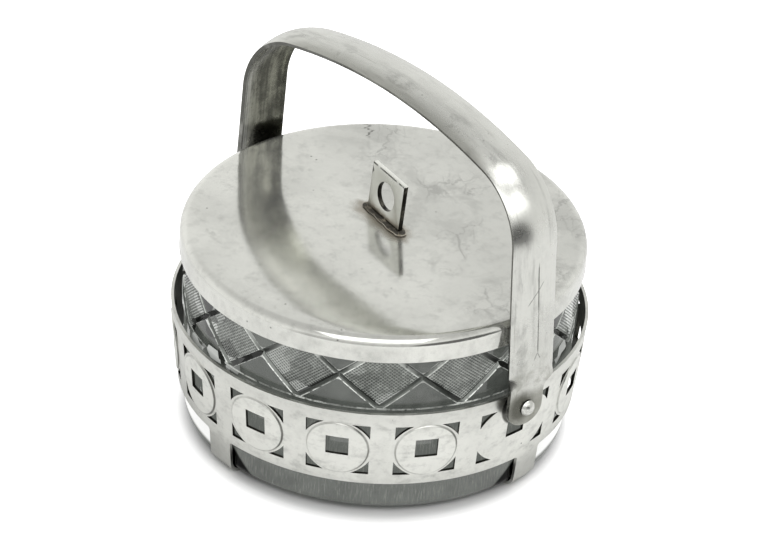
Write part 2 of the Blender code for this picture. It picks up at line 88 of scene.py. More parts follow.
# Softboxes: name, place, width, height, power in watts, and whether the lid is spared their glare
SOFTBOXES = (
    ("front_softbox", (0.55, -0.50, 1.11), 1.0, 0.9, 4.0, False),
    ("side_softbox", (0.79, 0.21, 0.87), 0.8, 0.5, 1.9, True),
    ("overhead_softbox", (0.10, 0.38, 1.12), 0.55, 0.62, 2.4, True),
)

# Sizes read from the frame
LID_LOW, LID_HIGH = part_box("lid")
GLASS_LOW, GLASS_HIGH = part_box("glass_bowl")
BAND_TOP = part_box("holder_band")[1].z
RIVET_LOW, RIVET_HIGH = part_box("pivot_rivet_near")
SPACER_LOW, SPACER_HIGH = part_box("pivot_spacer_near")
TAB_LOW, TAB_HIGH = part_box("lid_tab")
PIVOT = (SPACER_LOW.z + SPACER_HIGH.z) / 2
PIVOT_SIDE = (SPACER_LOW.y + SPACER_HIGH.y) / 2
RIVET_AXIS = Vector((0.0, PIVOT_SIDE, PIVOT))

# Lid, its tab and the solder
LID_RADIUS = LID_HIGH.x
LID_TOP = LID_HIGH.z
LID_SHEET = 0.0009
LID_CORNER = 0.0030
LID_HEM = 0.0004
LID_TILT = math.radians(0.5)  # the loose lid sits up a little on the side away from the camera
LID_RINGS = 8
LID_STEPS = 224
EDGE_MARK = Vector((-0.816, 0.578, 0.0))
TAB_WIDTH = 0.0166
TAB_THICKNESS = 0.0016
TAB_HOLE = 0.0088
TAB_HOLE_STEPS = 48
TAB_EDGE = 0.00022
TAB_TURN = math.radians(-7.7)
TAB_LEAN = math.radians(5.0)  # the tab is bent back a little
TAB_MIDDLE = (TAB_LOW + TAB_HIGH) / 2
TAB_BASE = TAB_LOW.z
TAB_HEIGHT = TAB_HIGH.z - TAB_LOW.z
TAB_RAISED = LID_RADIUS * LID_TILT
TAB_FOOT = TAB_BASE + TAB_RAISED
TAB_TOP = TAB_HIGH.z + TAB_RAISED
SOLDER_REACH = 0.0013
SOLDER_HEIGHT = 0.0006
SOLDER_CUTS = 24
SOLDER_LUMPS = 0.15  # share of the bead's width and height

# Glass
GLASS_RADIUS = 0.0586
GLASS_WALL = 0.0050
GLASS_FLOOR = 0.0060
GLASS_FILLET = 0.0060
GLASS_EASE = 0.0008
GLASS_MIDDLES = (0.020, 0.002)  # the last rings of the base and the floor
RIM_ROUND = LID_CORNER - LID_SHEET - 0.0003
GLASS_BASE = GLASS_LOW.z
GLASS_RIM = GLASS_HIGH.z
DIAMONDS = 15
DIAMOND_HEIGHT = 0.0204
DIAMOND_PHASE = math.radians(19.4)
RIDGE = GLASS_BASE + 0.0366
CROSSING = RIDGE + DIAMOND_HEIGHT / 2
MITRE_DEPTH = 0.0011
MITRE_SHARE = 0.055  # half the width of a mitre cut, as a share of a diamond's side
HATCH_LINES = 17
HATCH_GROUND = 0.6  # how pale the hatch lines are, 1 for fully ground
HATCH_DEPTH = 0.00020

# Holder band
BAND_SHEET = 0.0009
BAND_RADIUS = 0.0618
BAND_HEIGHT = 0.0258
BAND_TAPER = 0.0028
LEG_HEIGHT = 0.0117
LEG_WIDTH = 0.0098
LEG_FILLET = 0.0010
LEG_BEND = 0.0036
PIVOT_TURN = 1.34  # degrees that both pivots sit towards +Y of a diameter
PIVOT_ANGLES = (PIVOT_TURN, 180.0 - PIVOT_TURN)
LEG_ANGLES = tuple(PIVOT_TURN + turn for turn in (7.7, 87.2, 187.7, 267.2))
TOE_LENGTH = 0.0105
TOE_CORNER = 0.0020
SIDE_PANELS = 6
PIVOT_STEP = 28.2  # degrees from a pivot to the next panel
PANEL_STEP = (180.0 - 2 * PIVOT_STEP) / (SIDE_PANELS - 1)
FIRST_PANELS = [PIVOT_TURN + PIVOT_STEP + i * PANEL_STEP for i in range(SIDE_PANELS)]
PANEL_ANGLES = FIRST_PANELS + [180.0 + angle for angle in FIRST_PANELS]
SEAM = (PANEL_ANGLES[SIDE_PANELS - 3] + PANEL_ANGLES[SIDE_PANELS - 2]) / 2
PANEL_WIDTH = 0.0188
PIVOT_PANEL_WIDTH = 0.0262
PANEL_HEIGHT = 0.0180
PANEL_DROP = 0.0005
CORNER_WIDTH = 0.0053
CORNER_HEIGHT = 0.0049
CORNER_BOW = 0.00050
CORNER_STEPS = 8
EYE_WIDTH = 0.0067
EYE_HEIGHT = 0.0064
EYE_LIFT = 0.0009  # the eyes were punched a little above the middle of the discs
DISC_RADIUS = 0.0091
DISC_RISE = 0.00034
DISC_STEPS = 72
GROOVE_HALF_WIDTH = 0.00016
GROOVE_DEPTH = 0.00006
BAND_COLUMNS = 240
BAND_ROWS = 12
LEG_BEND_ROWS = 10
STRIP_RADIUS = BAND_RADIUS - (BAND_TAPER + BAND_SHEET) / 2
STRIP_LENGTH = 2 * math.pi * STRIP_RADIUS
BAND_SLOPE = math.atan2(BAND_TAPER, BAND_HEIGHT)
STRIP_HEIGHT = BAND_HEIGHT / math.cos(BAND_SLOPE)
PANEL_MIDDLE = STRIP_HEIGHT / 2 - PANEL_DROP
LEG_DROP = LEG_HEIGHT - BAND_SHEET / 2 - LEG_BEND * (1 - math.sin(BAND_SLOPE))
LEG_FLAT = LEG_DROP / math.cos(BAND_SLOPE)
LEG_CURL = LEG_BEND * (math.pi / 2 - BAND_SLOPE)
BAND_FOOT = BAND_RADIUS - BAND_TAPER - BAND_SHEET / 2
TOE_START = BAND_FOOT - LEG_FLAT * math.sin(BAND_SLOPE) - LEG_BEND * math.cos(BAND_SLOPE)

# The foot of the glass follows the bends of the legs
FOOT_RADIUS = TOE_START + LEG_BEND - BAND_SHEET / 2 - 0.0004
FOOT_ROUND = LEG_BEND - BAND_SHEET / 2 - 0.0003

# Handle
STRAP_WIDTH = 0.0164
STRAP_SHEET = 0.0012
STRAP_DOME = 0.0018
STRAP_MIDDLE = 0.0641
STRAP_CROWN = TAB_HIGH.z + 0.0329 + STRAP_SHEET / 2
STRAP_EDGE = 0.00035
TONGUE_RADIUS = 0.0064
TONGUE_TIP = 0.0054
TONGUE_SHIFT = -0.0008  # the strap is bent a little out of square: its tongues sit forward,
LEG_FOOT_DRIFT = 0.0013  # the feet of its legs back,
LEG_HEAD_DRIFT = -0.0012  # and their heads forward
SHOULDER_LOW = 0.0062
SHOULDER_HIGH = 0.0088
SHOULDER_FADE = 2 * SHOULDER_HIGH - SHOULDER_LOW
LEG_STRAIGHT = 0.0120
LEG_LEAN = math.radians(2.9)
BEND_RADIUS = 0.0240
ARCH_START = math.radians(76.6)
HANDLE_LEAN = math.radians(3.9)
STRAP_COLUMNS = 20
LEG_STEPS = 8
BEND_STEPS = 24
CROWN_STEPS = 18
SHOULDER_STEPS = 10
NECK_STEPS = 4
TONGUE_STEPS = 18

# Rivets and spacers
RIVET_RADIUS = 0.0015
RIVET_HEAD_RADIUS = 0.0025
RIVET_HEAD_HEIGHT = 0.0016
RIVET_TAIL_RADIUS = 0.0024
RIVET_TAIL_HEIGHT = 0.0006
RIVET_STEPS = 48
SPACER_RADIUS = 0.0040
SPACER_HOLE = RIVET_RADIUS + 0.0003
SPACER_EASE = 0.0002

MERGE = 1e-6  # corners closer than this are one
CELL_MERGE = 2e-5  # the same, between cells of the cut glass
SEAM_MERGE = 5e-6  # the same, along the rolled strip's seam
MIRROR_MERGE = 1e-5  # the same, in the middle of the handle
SLICE_REACH = 1e-7
CREASE = math.radians(40.0)  # edges bent by more than this are eased
FULL_TURN = 2 * math.pi
QUARTER_TURN = math.pi / 2

# Colours
BLACK = (0.0, 0.0, 0.0)
TARNISH_AND_SHADE = (0.25, 0.25, 0.215)
RIVET_SHADE = (0.11, 0.11, 0.092)
GRIME_AND_SHADE = (0.05, 0.05, 0.042)
FLUX_STAIN = (0.25, 0.205, 0.145)
FLUX_BURNT = (0.03, 0.027, 0.021)
SOLDER_TONES = ((0.36, 0.32, 0.25), (0.62, 0.58, 0.51))
STRAP_LEG_SHADES = ((0.075, 0.075, 0.062), (0.31, 0.31, 0.265))
STRAP_SHADOW = (0.035, 0.035, 0.026)
BAND_SHADE_TONES = ((0.022, 0.022, 0.018), (0.09, 0.09, 0.078))
TAB_EDGE_SHADES = ((0.018, 0.017, 0.014), (0.10, 0.096, 0.08))
GLASS_TINTS = ((0.09, 0.096, 0.089), (0.15, 0.158, 0.147))
GLASS_GROUND = (0.75, 0.77, 0.74)
GLASS_SHADE = (0.004, 0.004, 0.004)
GLOW_PLAIN = ((0.018, 0.020, 0.018), (0.041, 0.044, 0.040))
GLOW_FACET = (0.066, 0.072, 0.065)
GLOW_WALL = (0.092, 0.097, 0.090)
GLOW_STREAK = (0.175, 0.178, 0.162)
GLOW_GAP = (0.045, 0.047, 0.042)
GLOW_HATCH = (0.32, 0.333, 0.314)
GLOW_SHARD = (0.48, 0.49, 0.475)
GLOW_EDGE = (0.35, 0.36, 0.34)
GLOW_PALE = (0.8, 0.8, 0.79)


class Value:
    """A number that varies over a surface: sums on it add Math nodes."""

    def __init__(self, nodes, socket):
        self.nodes = nodes
        self.socket = socket

    def __add__(self, other):
        return self.nodes.math("ADD", self, other)

    __radd__ = __add__

    def __sub__(self, other):
        return self.nodes.math("SUBTRACT", self, other)

    def __rsub__(self, other):
        return self.nodes.math("SUBTRACT", other, self)

    def __mul__(self, other):
        return self.nodes.math("MULTIPLY", self, other)

    def __abs__(self):
        return self.nodes.math("ABSOLUTE", self)

    def most(self, other):
        return self.nodes.math("MAXIMUM", self, other)

    def rise(self, low, high):
        """A smooth step from 0 at low to 1 at high; it falls where high is under low."""
        value = self
        if low > high:
            value, low, high = 0.0 - self, -low, -high
        inputs = {"Value": value, "From Min": low, "From Max": high}
        return self.nodes.value("MapRange", "Result", inputs, interpolation_type="SMOOTHSTEP")


class Nodes:
    """The node tree of one finish, floor or world, with its coordinates."""

    def __init__(self, tree, coordinates="Object"):
        self.tree = tree
        self.place = self.node("TexCoord").outputs[coordinates]
        split = self.node("SeparateXYZ", {"Vector": self.place})
        self.x, self.y, self.z = [Value(self, split.outputs[axis]) for axis in "XYZ"]

    def node(self, kind, inputs=None, **settings):
        """One shader node, with its settings and the values or links of its sockets."""
        made = self.tree.nodes.new("ShaderNode" + kind)
        for name, value in settings.items():
            setattr(made, name, value)
        for name, value in (inputs or {}).items():
            self.feed(made.inputs[name], value)
        return made

    def feed(self, socket, value):
        if isinstance(value, Value):
            self.tree.links.new(value.socket, socket)
        elif isinstance(value, bpy.types.NodeSocket):
            self.tree.links.new(value, socket)
        elif isinstance(value, tuple) and len(value) == 3 and socket.type == "RGBA":
            socket.default_value = (*value, 1.0)
        else:
            socket.default_value = value

    def value(self, kind, output, inputs=None, **settings):
        return Value(self, self.node(kind, inputs, **settings).outputs[output])

    def math(self, operation, *parts):
        return self.value("Math", 0, dict(enumerate(parts)), operation=operation)

    def distance(self, x, y):
        return self.math("SQRT", x * x + y * y)

    def vector(self, x, y):
        return self.node("CombineXYZ", {"X": x, "Y": y}).outputs[0]

    def noise(self, scale, detail=3.0, roughness=0.5, distortion=0.0, at=None):
        inputs = {"Vector": at or self.place, "Scale": scale, "Detail": detail,
                  "Roughness": roughness, "Distortion": distortion}
        return self.value("TexNoise", "Fac", inputs)

    def streaks(self, x, y, detail, roughness, distortion=0.0):
        """Noise on two stretched coordinates of its own."""
        return self.noise(1.0, detail, roughness, distortion, self.vector(x, y))

    def cells(self, scale, output="Distance", feature="F1", at=None):
        inputs = {"Vector": at or self.place, "Scale": scale}
        return self.value("TexVoronoi", output, inputs, feature=feature)

    def attribute(self, name):
        return self.value("Attribute", "Fac", attribute_name=name)

    def blend(self, share, first, second):
        """A colour between two others."""
        inputs = {0: share, 6: first, 7: second}
        return self.node("Mix", inputs, data_type="RGBA", clamp_factor=True).outputs[2]

    def coats(self, colour, *coats):
        """A colour with others laid over it in turn, each as far as its share says."""
        for share, coat in coats:
            colour = self.blend(share, colour, coat)
        return colour

    def bump(self, height, distance, normal=None):
        inputs = {"Height": height, "Distance": distance}
        if normal is not None:
            inputs["Normal"] = normal
        return self.node("Bump", inputs).outputs["Normal"]


class Finish(Nodes):
    """A material with one Principled shader."""

    def __init__(self, name, **fixed):
        self.material = bpy.data.materials.new(name)
        self.material.use_nodes = True
        super().__init__(self.material.node_tree)
        self.set(**fixed)

    def set(self, **inputs):
        """Feed sockets of the shader, which are named with _ for each space."""
        shader = self.tree.nodes["Principled BSDF"]
        for name, value in inputs.items():
            self.feed(shader.inputs[name.replace("_", " ")], value)
        return self.material

    def paint(self, colour, roughness, normal):
        return self.set(Base_Color=colour, Roughness=roughness, Normal=normal)


# Finishes: tones, shares of coats, and the limits between which each mark fades in or out

def metal(tone):
    """White metal of one tone, a little warm."""
    return (tone, tone * 1.005, tone * 0.95)


def worn_metal(f, tone):
    """Shared wear of the sheet metal: its cloudy, pitted colour, then the cloud and grain in it."""
    cloud = f.noise(34.0, 5.0, 0.6)
    grain = f.noise(700.0, 3.0, 0.6)
    blotch = f.noise(120.0, 4.0, 0.65)
    pits = f.cells(330.0).rise(0.13, 0.05) * f.noise(75.0).rise(0.57, 0.66)
    colour = f.coats(
        f.blend(cloud.rise(0.32, 0.68), metal(tone * 0.93), metal(tone * 1.06)),
        (blotch.rise(0.48, 0.72) * 0.3, metal(tone * 0.72)),
        (grain.rise(0.52, 0.75) * 0.16, metal(tone * 0.75)),
        (pits * 0.75, GRIME_AND_SHADE))
    return colour, cloud, grain


def lid_finish():
    """The lid: rubbed plate with a web of water marks, a flux stain at the tab, a streaked skirt, and
    painted shade darkening its back half.
    """
    f = Finish("lid_plate", Metallic=0.82)
    colour, cloud, grain = worn_metal(f, 0.785)
    # Painted shade: the plate is darkened towards its back half, where its patches and water marks are
    # also stronger.
    back = (f.x * 0.3 + f.y * 0.95).rise(-0.010, 0.020)
    mottle = f.noise(240.0, 4.0, 0.7)
    patch = f.noise(52.0, 5.0, 0.7, 0.6)
    on_top = f.z.rise(LID_TOP - 0.0014, LID_TOP - 0.0004)
    stain, near_tab = flux_stain(f)
    skirt = f.z.rise(LID_TOP - 0.0026, LID_TOP - 0.0034)
    streak = f.streaks(f.math("ARCTAN2", f.y, f.x) * 16.0, f.z * 150.0, 4.0, 0.6)
    colour = f.coats(
        colour,
        (mottle.rise(0.50, 0.70) * 0.20, metal(0.40)),
        (patch.rise(0.47, 0.60) * (0.25 + back * 0.75) * 0.42, metal(0.46)),
        (water_marks(f) * (0.14 + back * 0.86) * 0.52, metal(0.30)),
        (back * 0.26, metal(0.50)),
        (edge_mark(f) * on_top * 0.9, GRIME_AND_SHADE),
        (stain, FLUX_STAIN),
        (skirt * streak.rise(0.40, 0.75) * 0.3, metal(0.40)))
    roughness = 0.05 + cloud * 0.07 + grain * 0.04 + stain * 0.25 + near_tab * 0.10
    return f.paint(colour, roughness, f.bump(grain, 0.000004, f.bump(f.noise(20.0, 1.0), 0.0003)))


def water_marks(f):
    """Faint jagged lines where water dried, broken up and in places doubled."""
    wobble = f.noise(75.0, 6.0, 0.68) - 0.5
    bent = f.vector(f.x + wobble * 0.026, f.y - wobble * 0.020)
    web = f.cells(62.0, "Distance", "DISTANCE_TO_EDGE", bent).rise(0.034, 0.006)
    fine = f.cells(150.0, "Distance", "DISTANCE_TO_EDGE", bent).rise(0.05, 0.01) * 0.5
    return web.most(fine) * f.noise(48.0, 3.0).rise(0.44, 0.62)


def edge_mark(f):
    """One dark jagged line that runs in from the lid's far edge."""
    inwards = f.x * EDGE_MARK.x + f.y * EDGE_MARK.y
    wobble = f.streaks(inwards * 420.0, 0.0, 4.0, 0.7) - 0.5
    beside = f.y * EDGE_MARK.x - f.x * EDGE_MARK.y + wobble * 0.0120
    return abs(beside).rise(0.00040, 0.00012) * inwards.rise(0.0490, 0.0520)


def flux_stain(f):
    """Brown stain close round the tab's foot, and a wider mask of the dulled plate about it."""
    turn_x, turn_y = math.cos(TAB_TURN), math.sin(TAB_TURN)
    dx, dy = f.x - TAB_MIDDLE.x, f.y - TAB_MIDDLE.y
    along = dx * turn_x + dy * turn_y
    across = dy * turn_x - dx * turn_y
    far = f.distance((abs(along) - TAB_WIDTH / 2).most(0.0), across)
    ragged = f.noise(300.0, 4.0, 0.6)
    reach = across.rise(0.001, -0.001) * 0.0016
    stain = (far - reach + (ragged - 0.5) * 0.0046).rise(0.0050, 0.0010) * 0.65
    return stain, far.rise(0.020, 0.006)


def strap_surface(name, tone):
    """What the strap's sides share: its material, place on the strap, wear and lengthwise scuffs."""
    f = Finish(name, Metallic=1.0)
    along, across = f.attribute("along"), f.attribute("across")
    colour, cloud, grain = worn_metal(f, tone)
    scuff = f.streaks(along * 34.0, across * 300.0, 5.0, 0.68)
    fine = f.streaks(along * 26.0, across * 1500.0, 2.0, 0.5)
    colour = f.coats(
        colour,
        (scuff.rise(0.50, 0.72) * 0.42, metal(tone * 0.45)),
        (fine.rise(0.62, 0.72) * f.noise(45.0).rise(0.45, 0.58) * 0.55, TARNISH_AND_SHADE))
    normal = f.bump(grain, 0.000006, f.bump(f.noise(60.0, 1.0), 0.00008))
    f.paint(colour, 0.20 + cloud * 0.10 + grain * 0.05, normal)
    return f, along, across, colour, scuff


def strap_outside():
    """The strap's outside: clouded at the shoulders, with painted shade on the tongues, in a ring round
    each rivet and along the near edge of its top, scratched on the legs.
    """
    f, along, across, colour, scuff = strap_surface("strap_outside", 0.66)
    blotch = f.noise(170.0, 4.0, 0.65)
    smear = f.streaks(along * 60.0, across * 150.0, 5.0, 0.7, 0.4)
    shoulder = f.z.rise(PIVOT + 0.022, PIVOT + 0.009)
    # Painted shade: the tongues are darkened, more so in a ring round each rivet, and so is the near
    # edge of the strap's top.
    tongue = f.z.rise(PIVOT + 0.0072, PIVOT + 0.0030)
    pivot = f.distance(across + 0.0020, f.z - PIVOT - 0.0010)
    near_edge = across.rise(-0.0030, -0.0078) * along.rise(0.052, 0.036)
    return f.set(Base_Color=f.coats(
        colour,
        (smear.rise(0.54, 0.68) * (0.16 + across.rise(0.004, -0.006) * 0.5), metal(0.36)),
        (shoulder * blotch.rise(0.42, 0.64) * 0.5, TARNISH_AND_SHADE),
        (tongue * 0.70, TARNISH_AND_SHADE),
        (pivot.rise(0.0068, 0.0024) * blotch.rise(0.18, 0.46) * 0.97, RIVET_SHADE),
        (near_edge * (0.25 + scuff * 0.5), TARNISH_AND_SHADE),
        (leg_scratches(across, f.z, scuff) * 0.8, GRIME_AND_SHADE)))


def leg_scratches(across, z, wobble):
    """Fine marks on a leg's outside: a long upright one, a slanting one and a small fork."""
    sway = (wobble - 0.5) * 0.0010
    upright = abs(across + (z - 0.0691) * 0.022 - 0.0004 + sway).rise(0.00030, 0.00010)
    upright = upright * z.rise(0.0500, 0.0530) * z.rise(0.0820, 0.0790) * wobble.rise(0.34, 0.48)
    slant = abs(across + 0.00316 - (z - 0.0680) * 0.845 + sway).rise(0.00030, 0.00010)
    slant = slant * z.rise(0.0675, 0.0685) * z.rise(0.0748, 0.0738) * 0.7
    drop = 0.0512 - z
    fork = abs(abs(across - 0.0006) - drop * 0.5).rise(0.00028, 0.00008)
    fork = fork * drop.rise(0.0, 0.0004) * drop.rise(0.0026, 0.0018) * 0.6
    return upright.most(slant).most(fork)


def strap_inside():
    """The strap's inside: painted pale under the top as painted light, painted shade in streaks down the
    legs, a painted black shadow low on the far side.
    """
    # Painted light: the inside is given a paler tone than the outside.
    f, along, across, colour, scuff = strap_surface("strap_inside", 0.88)
    streak = f.streaks(along * 30.0, across * 420.0, 4.0, 0.62)
    mottle = f.noise(260.0, 4.0, 0.7)
    # Painted shade, in streaks, down the legs.
    tarnish_and_shade = f.blend((streak * 0.65 + mottle * 0.35).rise(0.42, 0.60), *STRAP_LEG_SHADES)
    edge = across.rise(-0.0046, -0.0060) * f.math("SINE", across * 5200.0).rise(-0.2, 0.7)
    # A painted black shadow on the legs from a little above the lid's top downwards.
    low = (f.z + scuff * 0.0030).rise(LID_TOP + 0.0068, LID_TOP + 0.0050)
    return f.set(Base_Color=f.coats(
        colour,
        (along.rise(0.051, 0.063) * 0.94, tarnish_and_shade),
        (edge * 0.7, metal(0.42)),
        (low * across.rise(-0.0030, -0.0010) * 0.95, STRAP_SHADOW)))


def strap_edge():
    """The strap's sheared edges, painted dark as shade and lined along their length."""
    f, *_, colour, scuff = strap_surface("strap_edge", 0.36)
    return f.set(Base_Color=f.blend(scuff.rise(0.36, 0.56) * 0.75, colour, GRIME_AND_SHADE))


def band_finish():
    """The pierced band: clouded and scuffed, darker towards the top, with painted shade down its legs
    and behind each tongue, and a fine line of grime round each disc that is painted darker on one side
    as shade.
    """
    f = Finish("band_plate", Metallic=1.0)
    along, disc, lean = [f.attribute(name) for name in ("along", "disc", "lean")]
    colour, cloud, grain = worn_metal(f, 0.755)
    scuff = f.streaks(along * 160.0, f.z * 260.0, 5.0, 0.66)
    mottle = f.noise(280.0, 4.0, 0.7)
    worn = f.noise(150.0, 3.0).rise(0.30, 0.62)
    # A painted shadow on the band beside and below each tongue.
    shadow_behind_tongue = f.distance(f.y - PIVOT_SIDE - 0.0005, f.z - PIVOT + 0.0006).rise(0.0073, 0.0066)
    outline = abs(disc - DISC_RADIUS).rise(0.00042, 0.00012)
    colour = f.coats(
        colour,
        (disc.rise(DISC_RADIUS, DISC_RADIUS - 0.0006) * 0.5, metal(0.84)),
        (f.z.rise(BAND_TOP - 0.010, BAND_TOP) * 0.22, metal(0.45)),
        (mottle.rise(0.50, 0.70) * 0.26, metal(0.40)),
        (scuff.rise(0.48, 0.74) * 0.5, metal(0.36)),
        # Painted shade down the legs.
        (f.z.rise(LEG_HEIGHT + 0.002, LEG_HEIGHT - 0.004) * 0.45, metal(0.42)),
        (shadow_behind_tongue * 0.92, GRIME_AND_SHADE),
        # Grime round each disc, with painted shade on the side where lean is high.
        (outline * (worn * 0.35 + lean.rise(0.1, 0.9) * 0.45), GRIME_AND_SHADE))
    normal = f.bump(grain, 0.000006, f.bump(f.noise(70.0, 2.0), 0.00012))
    return f.paint(colour, 0.22 + cloud * 0.12 + grain * 0.06, normal)


def band_shade():
    """The band's inside, the walls of its holes and the spacers: painted shade, nearly black and
    mottled.
    """
    f = Finish("band_shade", Metallic=1.0)
    mottle = f.noise(140.0, 5.0, 0.65)
    colour = f.blend(mottle.rise(0.36, 0.66), *BAND_SHADE_TONES)
    return f.paint(colour, 0.30 + mottle * 0.2, f.bump(mottle, 0.00006))


def rivet_finish():
    f = Finish("rivet_metal", Metallic=1.0)
    colour, *_ = worn_metal(f, 0.68)
    dent = f.noise(800.0, 2.0)
    colour = f.blend(dent.rise(0.48, 0.62) * 0.5, colour, metal(0.4))
    return f.paint(colour, 0.20 + dent * 0.14, f.bump(dent, 0.00012))


def tab_finish():
    """The tab's faces: rubbed plate, stained at the foot, with a dark nick by one corner."""
    f = Finish("tab_plate", Metallic=1.0)
    colour, cloud, grain = worn_metal(f, 0.70)
    ragged = f.noise(420.0, 3.0)
    low = f.z.rise(TAB_FOOT + 0.0036, TAB_FOOT + 0.0004)
    foot = f.z.rise(TAB_FOOT + 0.0013, TAB_FOOT + 0.0009)
    nick = (f.x - TAB_LOW.x) * 2.0 + abs(f.z - TAB_TOP + 0.0026) + ragged * 0.0012
    top_line = f.z.rise(TAB_TOP - 0.0006, TAB_TOP - 0.0004)
    colour = f.coats(
        colour,
        (low * ragged.rise(0.3, 0.6) * 0.8, FLUX_STAIN),
        (foot * ragged.rise(0.30, 0.46) * 0.85, GRIME_AND_SHADE),
        (nick.rise(0.0034, 0.0024) * 0.95, GRIME_AND_SHADE),
        (top_line * ragged.rise(0.38, 0.52) * 0.9, GRIME_AND_SHADE))
    normal = f.bump(f.noise(240.0, 2.0), 0.00006)
    return f.paint(colour, 0.20 + cloud * 0.12 + grain * 0.06, normal)


def tab_edge():
    """The tab's cut edges and the wall of its hole: painted shade, with a painted highlight along the
    top.
    """
    f = Finish("tab_edge", Metallic=1.0)
    ragged = f.noise(480.0, 4.0, 0.6)
    colour = f.blend(ragged.rise(0.40, 0.70), *TAB_EDGE_SHADES)
    # A painted highlight along the top.
    colour = f.blend(f.z.rise(TAB_TOP - 0.0005, TAB_TOP - 0.0003), colour, metal(0.88))
    return f.paint(colour, 0.32 + ragged * 0.2, f.bump(ragged, 0.00006))


def solder_finish():
    """The solder bead: dull grey, dark with flux along the tab's foot and in patches."""
    f = Finish("solder_bead", Metallic=0.5)
    ragged = f.noise(420.0, 5.0, 0.65)
    plate = LID_TOP + TAB_RAISED
    foot = f.z.rise(plate + 0.0004, plate + 0.0006) * ragged.rise(0.34, 0.52)
    rim = f.z.rise(plate + 0.00018, plate + 0.00006)
    burnt = (f.x - TAB_MIDDLE.x).rise(-0.001, -0.007) * ragged.rise(0.30, 0.50)
    colour = f.blend(ragged.rise(0.40, 0.60), *SOLDER_TONES)
    colour = f.blend(foot.most(rim * 0.75).most(burnt * 0.8) * 0.92, colour, FLUX_BURNT)
    return f.paint(colour, 0.55 + ragged * 0.3, f.bump(ragged, 0.0003))


def glass_finish():
    """Old cut glass: grey and half clear, with pale lines along its cuts; a painted glow stands in for
    light through it, with painted glints, reflections and shade.
    """
    f = Finish("cut_glass", IOR=1.6, Transmission_Weight=0.5, Emission_Strength=1.0)
    z = f.z
    turn = f.math("ARCTAN2", f.y, f.x)
    bloom = f.noise(130.0, 4.0, 0.6)
    speck = f.noise(600.0, 3.0, 0.6)
    shard = f.cells(190.0, "Color")
    facet = f.noise(42.0, 2.0, 0.5, 0.8).rise(0.46, 0.60)
    facing = f.value("LayerWeight", "Facing", {"Blend": 0.5})
    front = 1 - f.value("NewGeometry", "Backfacing")
    outside = f.distance(f.x, f.y).rise(0.0540, 0.0548) * front
    low = z.rise(RIDGE, RIDGE - 0.006)
    # Painted light: the lower wall glows, most of all behind the band, where the band's shade falls.
    behind = low * z.rise(LEG_HEIGHT, LEG_HEIGHT + 0.003)
    flaws = f.streaks(turn * 60.0, z * 90.0, 4.0, 0.6).rise(0.62, 0.76) * low
    streak = f.streaks(turn * 120.0, z * 230.0, 5.0, 0.68)
    hatch = f.attribute("ground").rise(0.36, 0.58)
    edge = f.attribute("edge").rise(0.74, 0.98) * speck.rise(0.34, 0.54)
    edge = edge * (0.35 + f.noise(85.0, 3.0).rise(0.42, 0.60) * 0.65)
    wall = f.attribute("cut")
    # Painted glints on the cut walls towards the top of the crossings.
    sparkle = wall * z.rise(CROSSING - 0.001, CROSSING + 0.006) * bloom.rise(0.42, 0.54)
    # Painted reflections near the glass's edges: pale and black splinters.
    limb = facing.rise(0.32, 0.54) * outside * (1 - low)
    # Painted light: the wall below the band turns pale towards its edges.
    under_band = z.rise(LEG_HEIGHT + 0.001, LEG_HEIGHT) * z.rise(0.0036, 0.0052)
    toe = toe_shadow(turn, z)
    # Painted shade and dark reflections: the toe shadows, black splinters and cut walls near the edges,
    # and the bottom of the foot.
    dark = toe.most(limb * shard.rise(0.50, 0.30) * 0.95)
    dark = dark.most(wall * outside * facing.rise(0.26, 0.46) * 0.85)
    dark = dark.most(z.rise(0.0042, 0.0016) * 0.6)
    glow = f.coats(
        f.blend(bloom.rise(0.3, 0.7), *GLOW_PLAIN),
        (facet * 0.5, GLOW_FACET),
        (low * 0.4 + behind * 0.6, GLOW_WALL),
        (low * streak.rise(0.48, 0.68) * 0.55, GLOW_STREAK),
        (low * streak.rise(0.42, 0.32) * 0.7, GLOW_GAP),
        (hatch * (0.42 + speck.rise(0.36, 0.62) * 0.55), GLOW_HATCH),
        (limb * shard.rise(0.62, 0.80), GLOW_SHARD),
        (edge.most(sparkle) * 0.85 + flaws * 0.25, GLOW_EDGE),
        (facing.rise(0.50, 0.60) * outside * under_band, GLOW_PALE),
        (dark, BLACK))
    colour = f.coats(
        f.blend(bloom.rise(0.3, 0.7), *GLASS_TINTS),
        (edge.most(flaws * 0.4), GLASS_GROUND),
        (dark, GLASS_SHADE))
    return f.set(Base_Color=colour, Roughness=0.04 + bloom * 0.06 + edge * 0.25,
                 Metallic=toe.most(wall * 0.6), Emission_Color=glow)


def toe_shadow(turn, z):
    """A painted shadow: the dark gap between the glass and a toe, as a wedge beside each of the two
    front legs.
    """
    near, front = math.radians(LEG_ANGLES[0]), math.radians(LEG_ANGLES[3])
    wedges = [(z + abs(gap) * 0.050).rise(0.0138, 0.0122) * gap.rise(-0.02, 0.02)
              for gap in (near - turn, turn - front + FULL_TURN)]
    return wedges[0].most(wedges[1])


# Making and placing pieces

def keep(bm, name, finishes, body, slot, *nodes, sharp=32.0):
    """Turn a finished bmesh into a piece that stands for CAD nodes and rides on their body."""
    weld(bm)
    if body == "lid":
        turn = Matrix.Rotation(LID_TILT, 3, TOWARDS_CAMERA.cross(Vector((0, 0, -1))))
        front = TOWARDS_CAMERA * LID_RADIUS + Vector((0, 0, LID_TOP))
        turn_about(bm, front, turn)
    obj = object_from(bm, name)
    obj.data.shade_smooth()
    obj.data.set_sharp_from_angle(angle=math.radians(sharp))
    scene.collection.objects.link(obj)
    for finish in finishes:
        obj.data.materials.append(finish)
    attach(obj, body)
    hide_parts(*nodes)
    return obj


def object_from(bm, name):
    mesh = bpy.data.meshes.new(name)
    bm.to_mesh(mesh)
    bm.free()
    return bpy.data.objects.new(name, mesh)


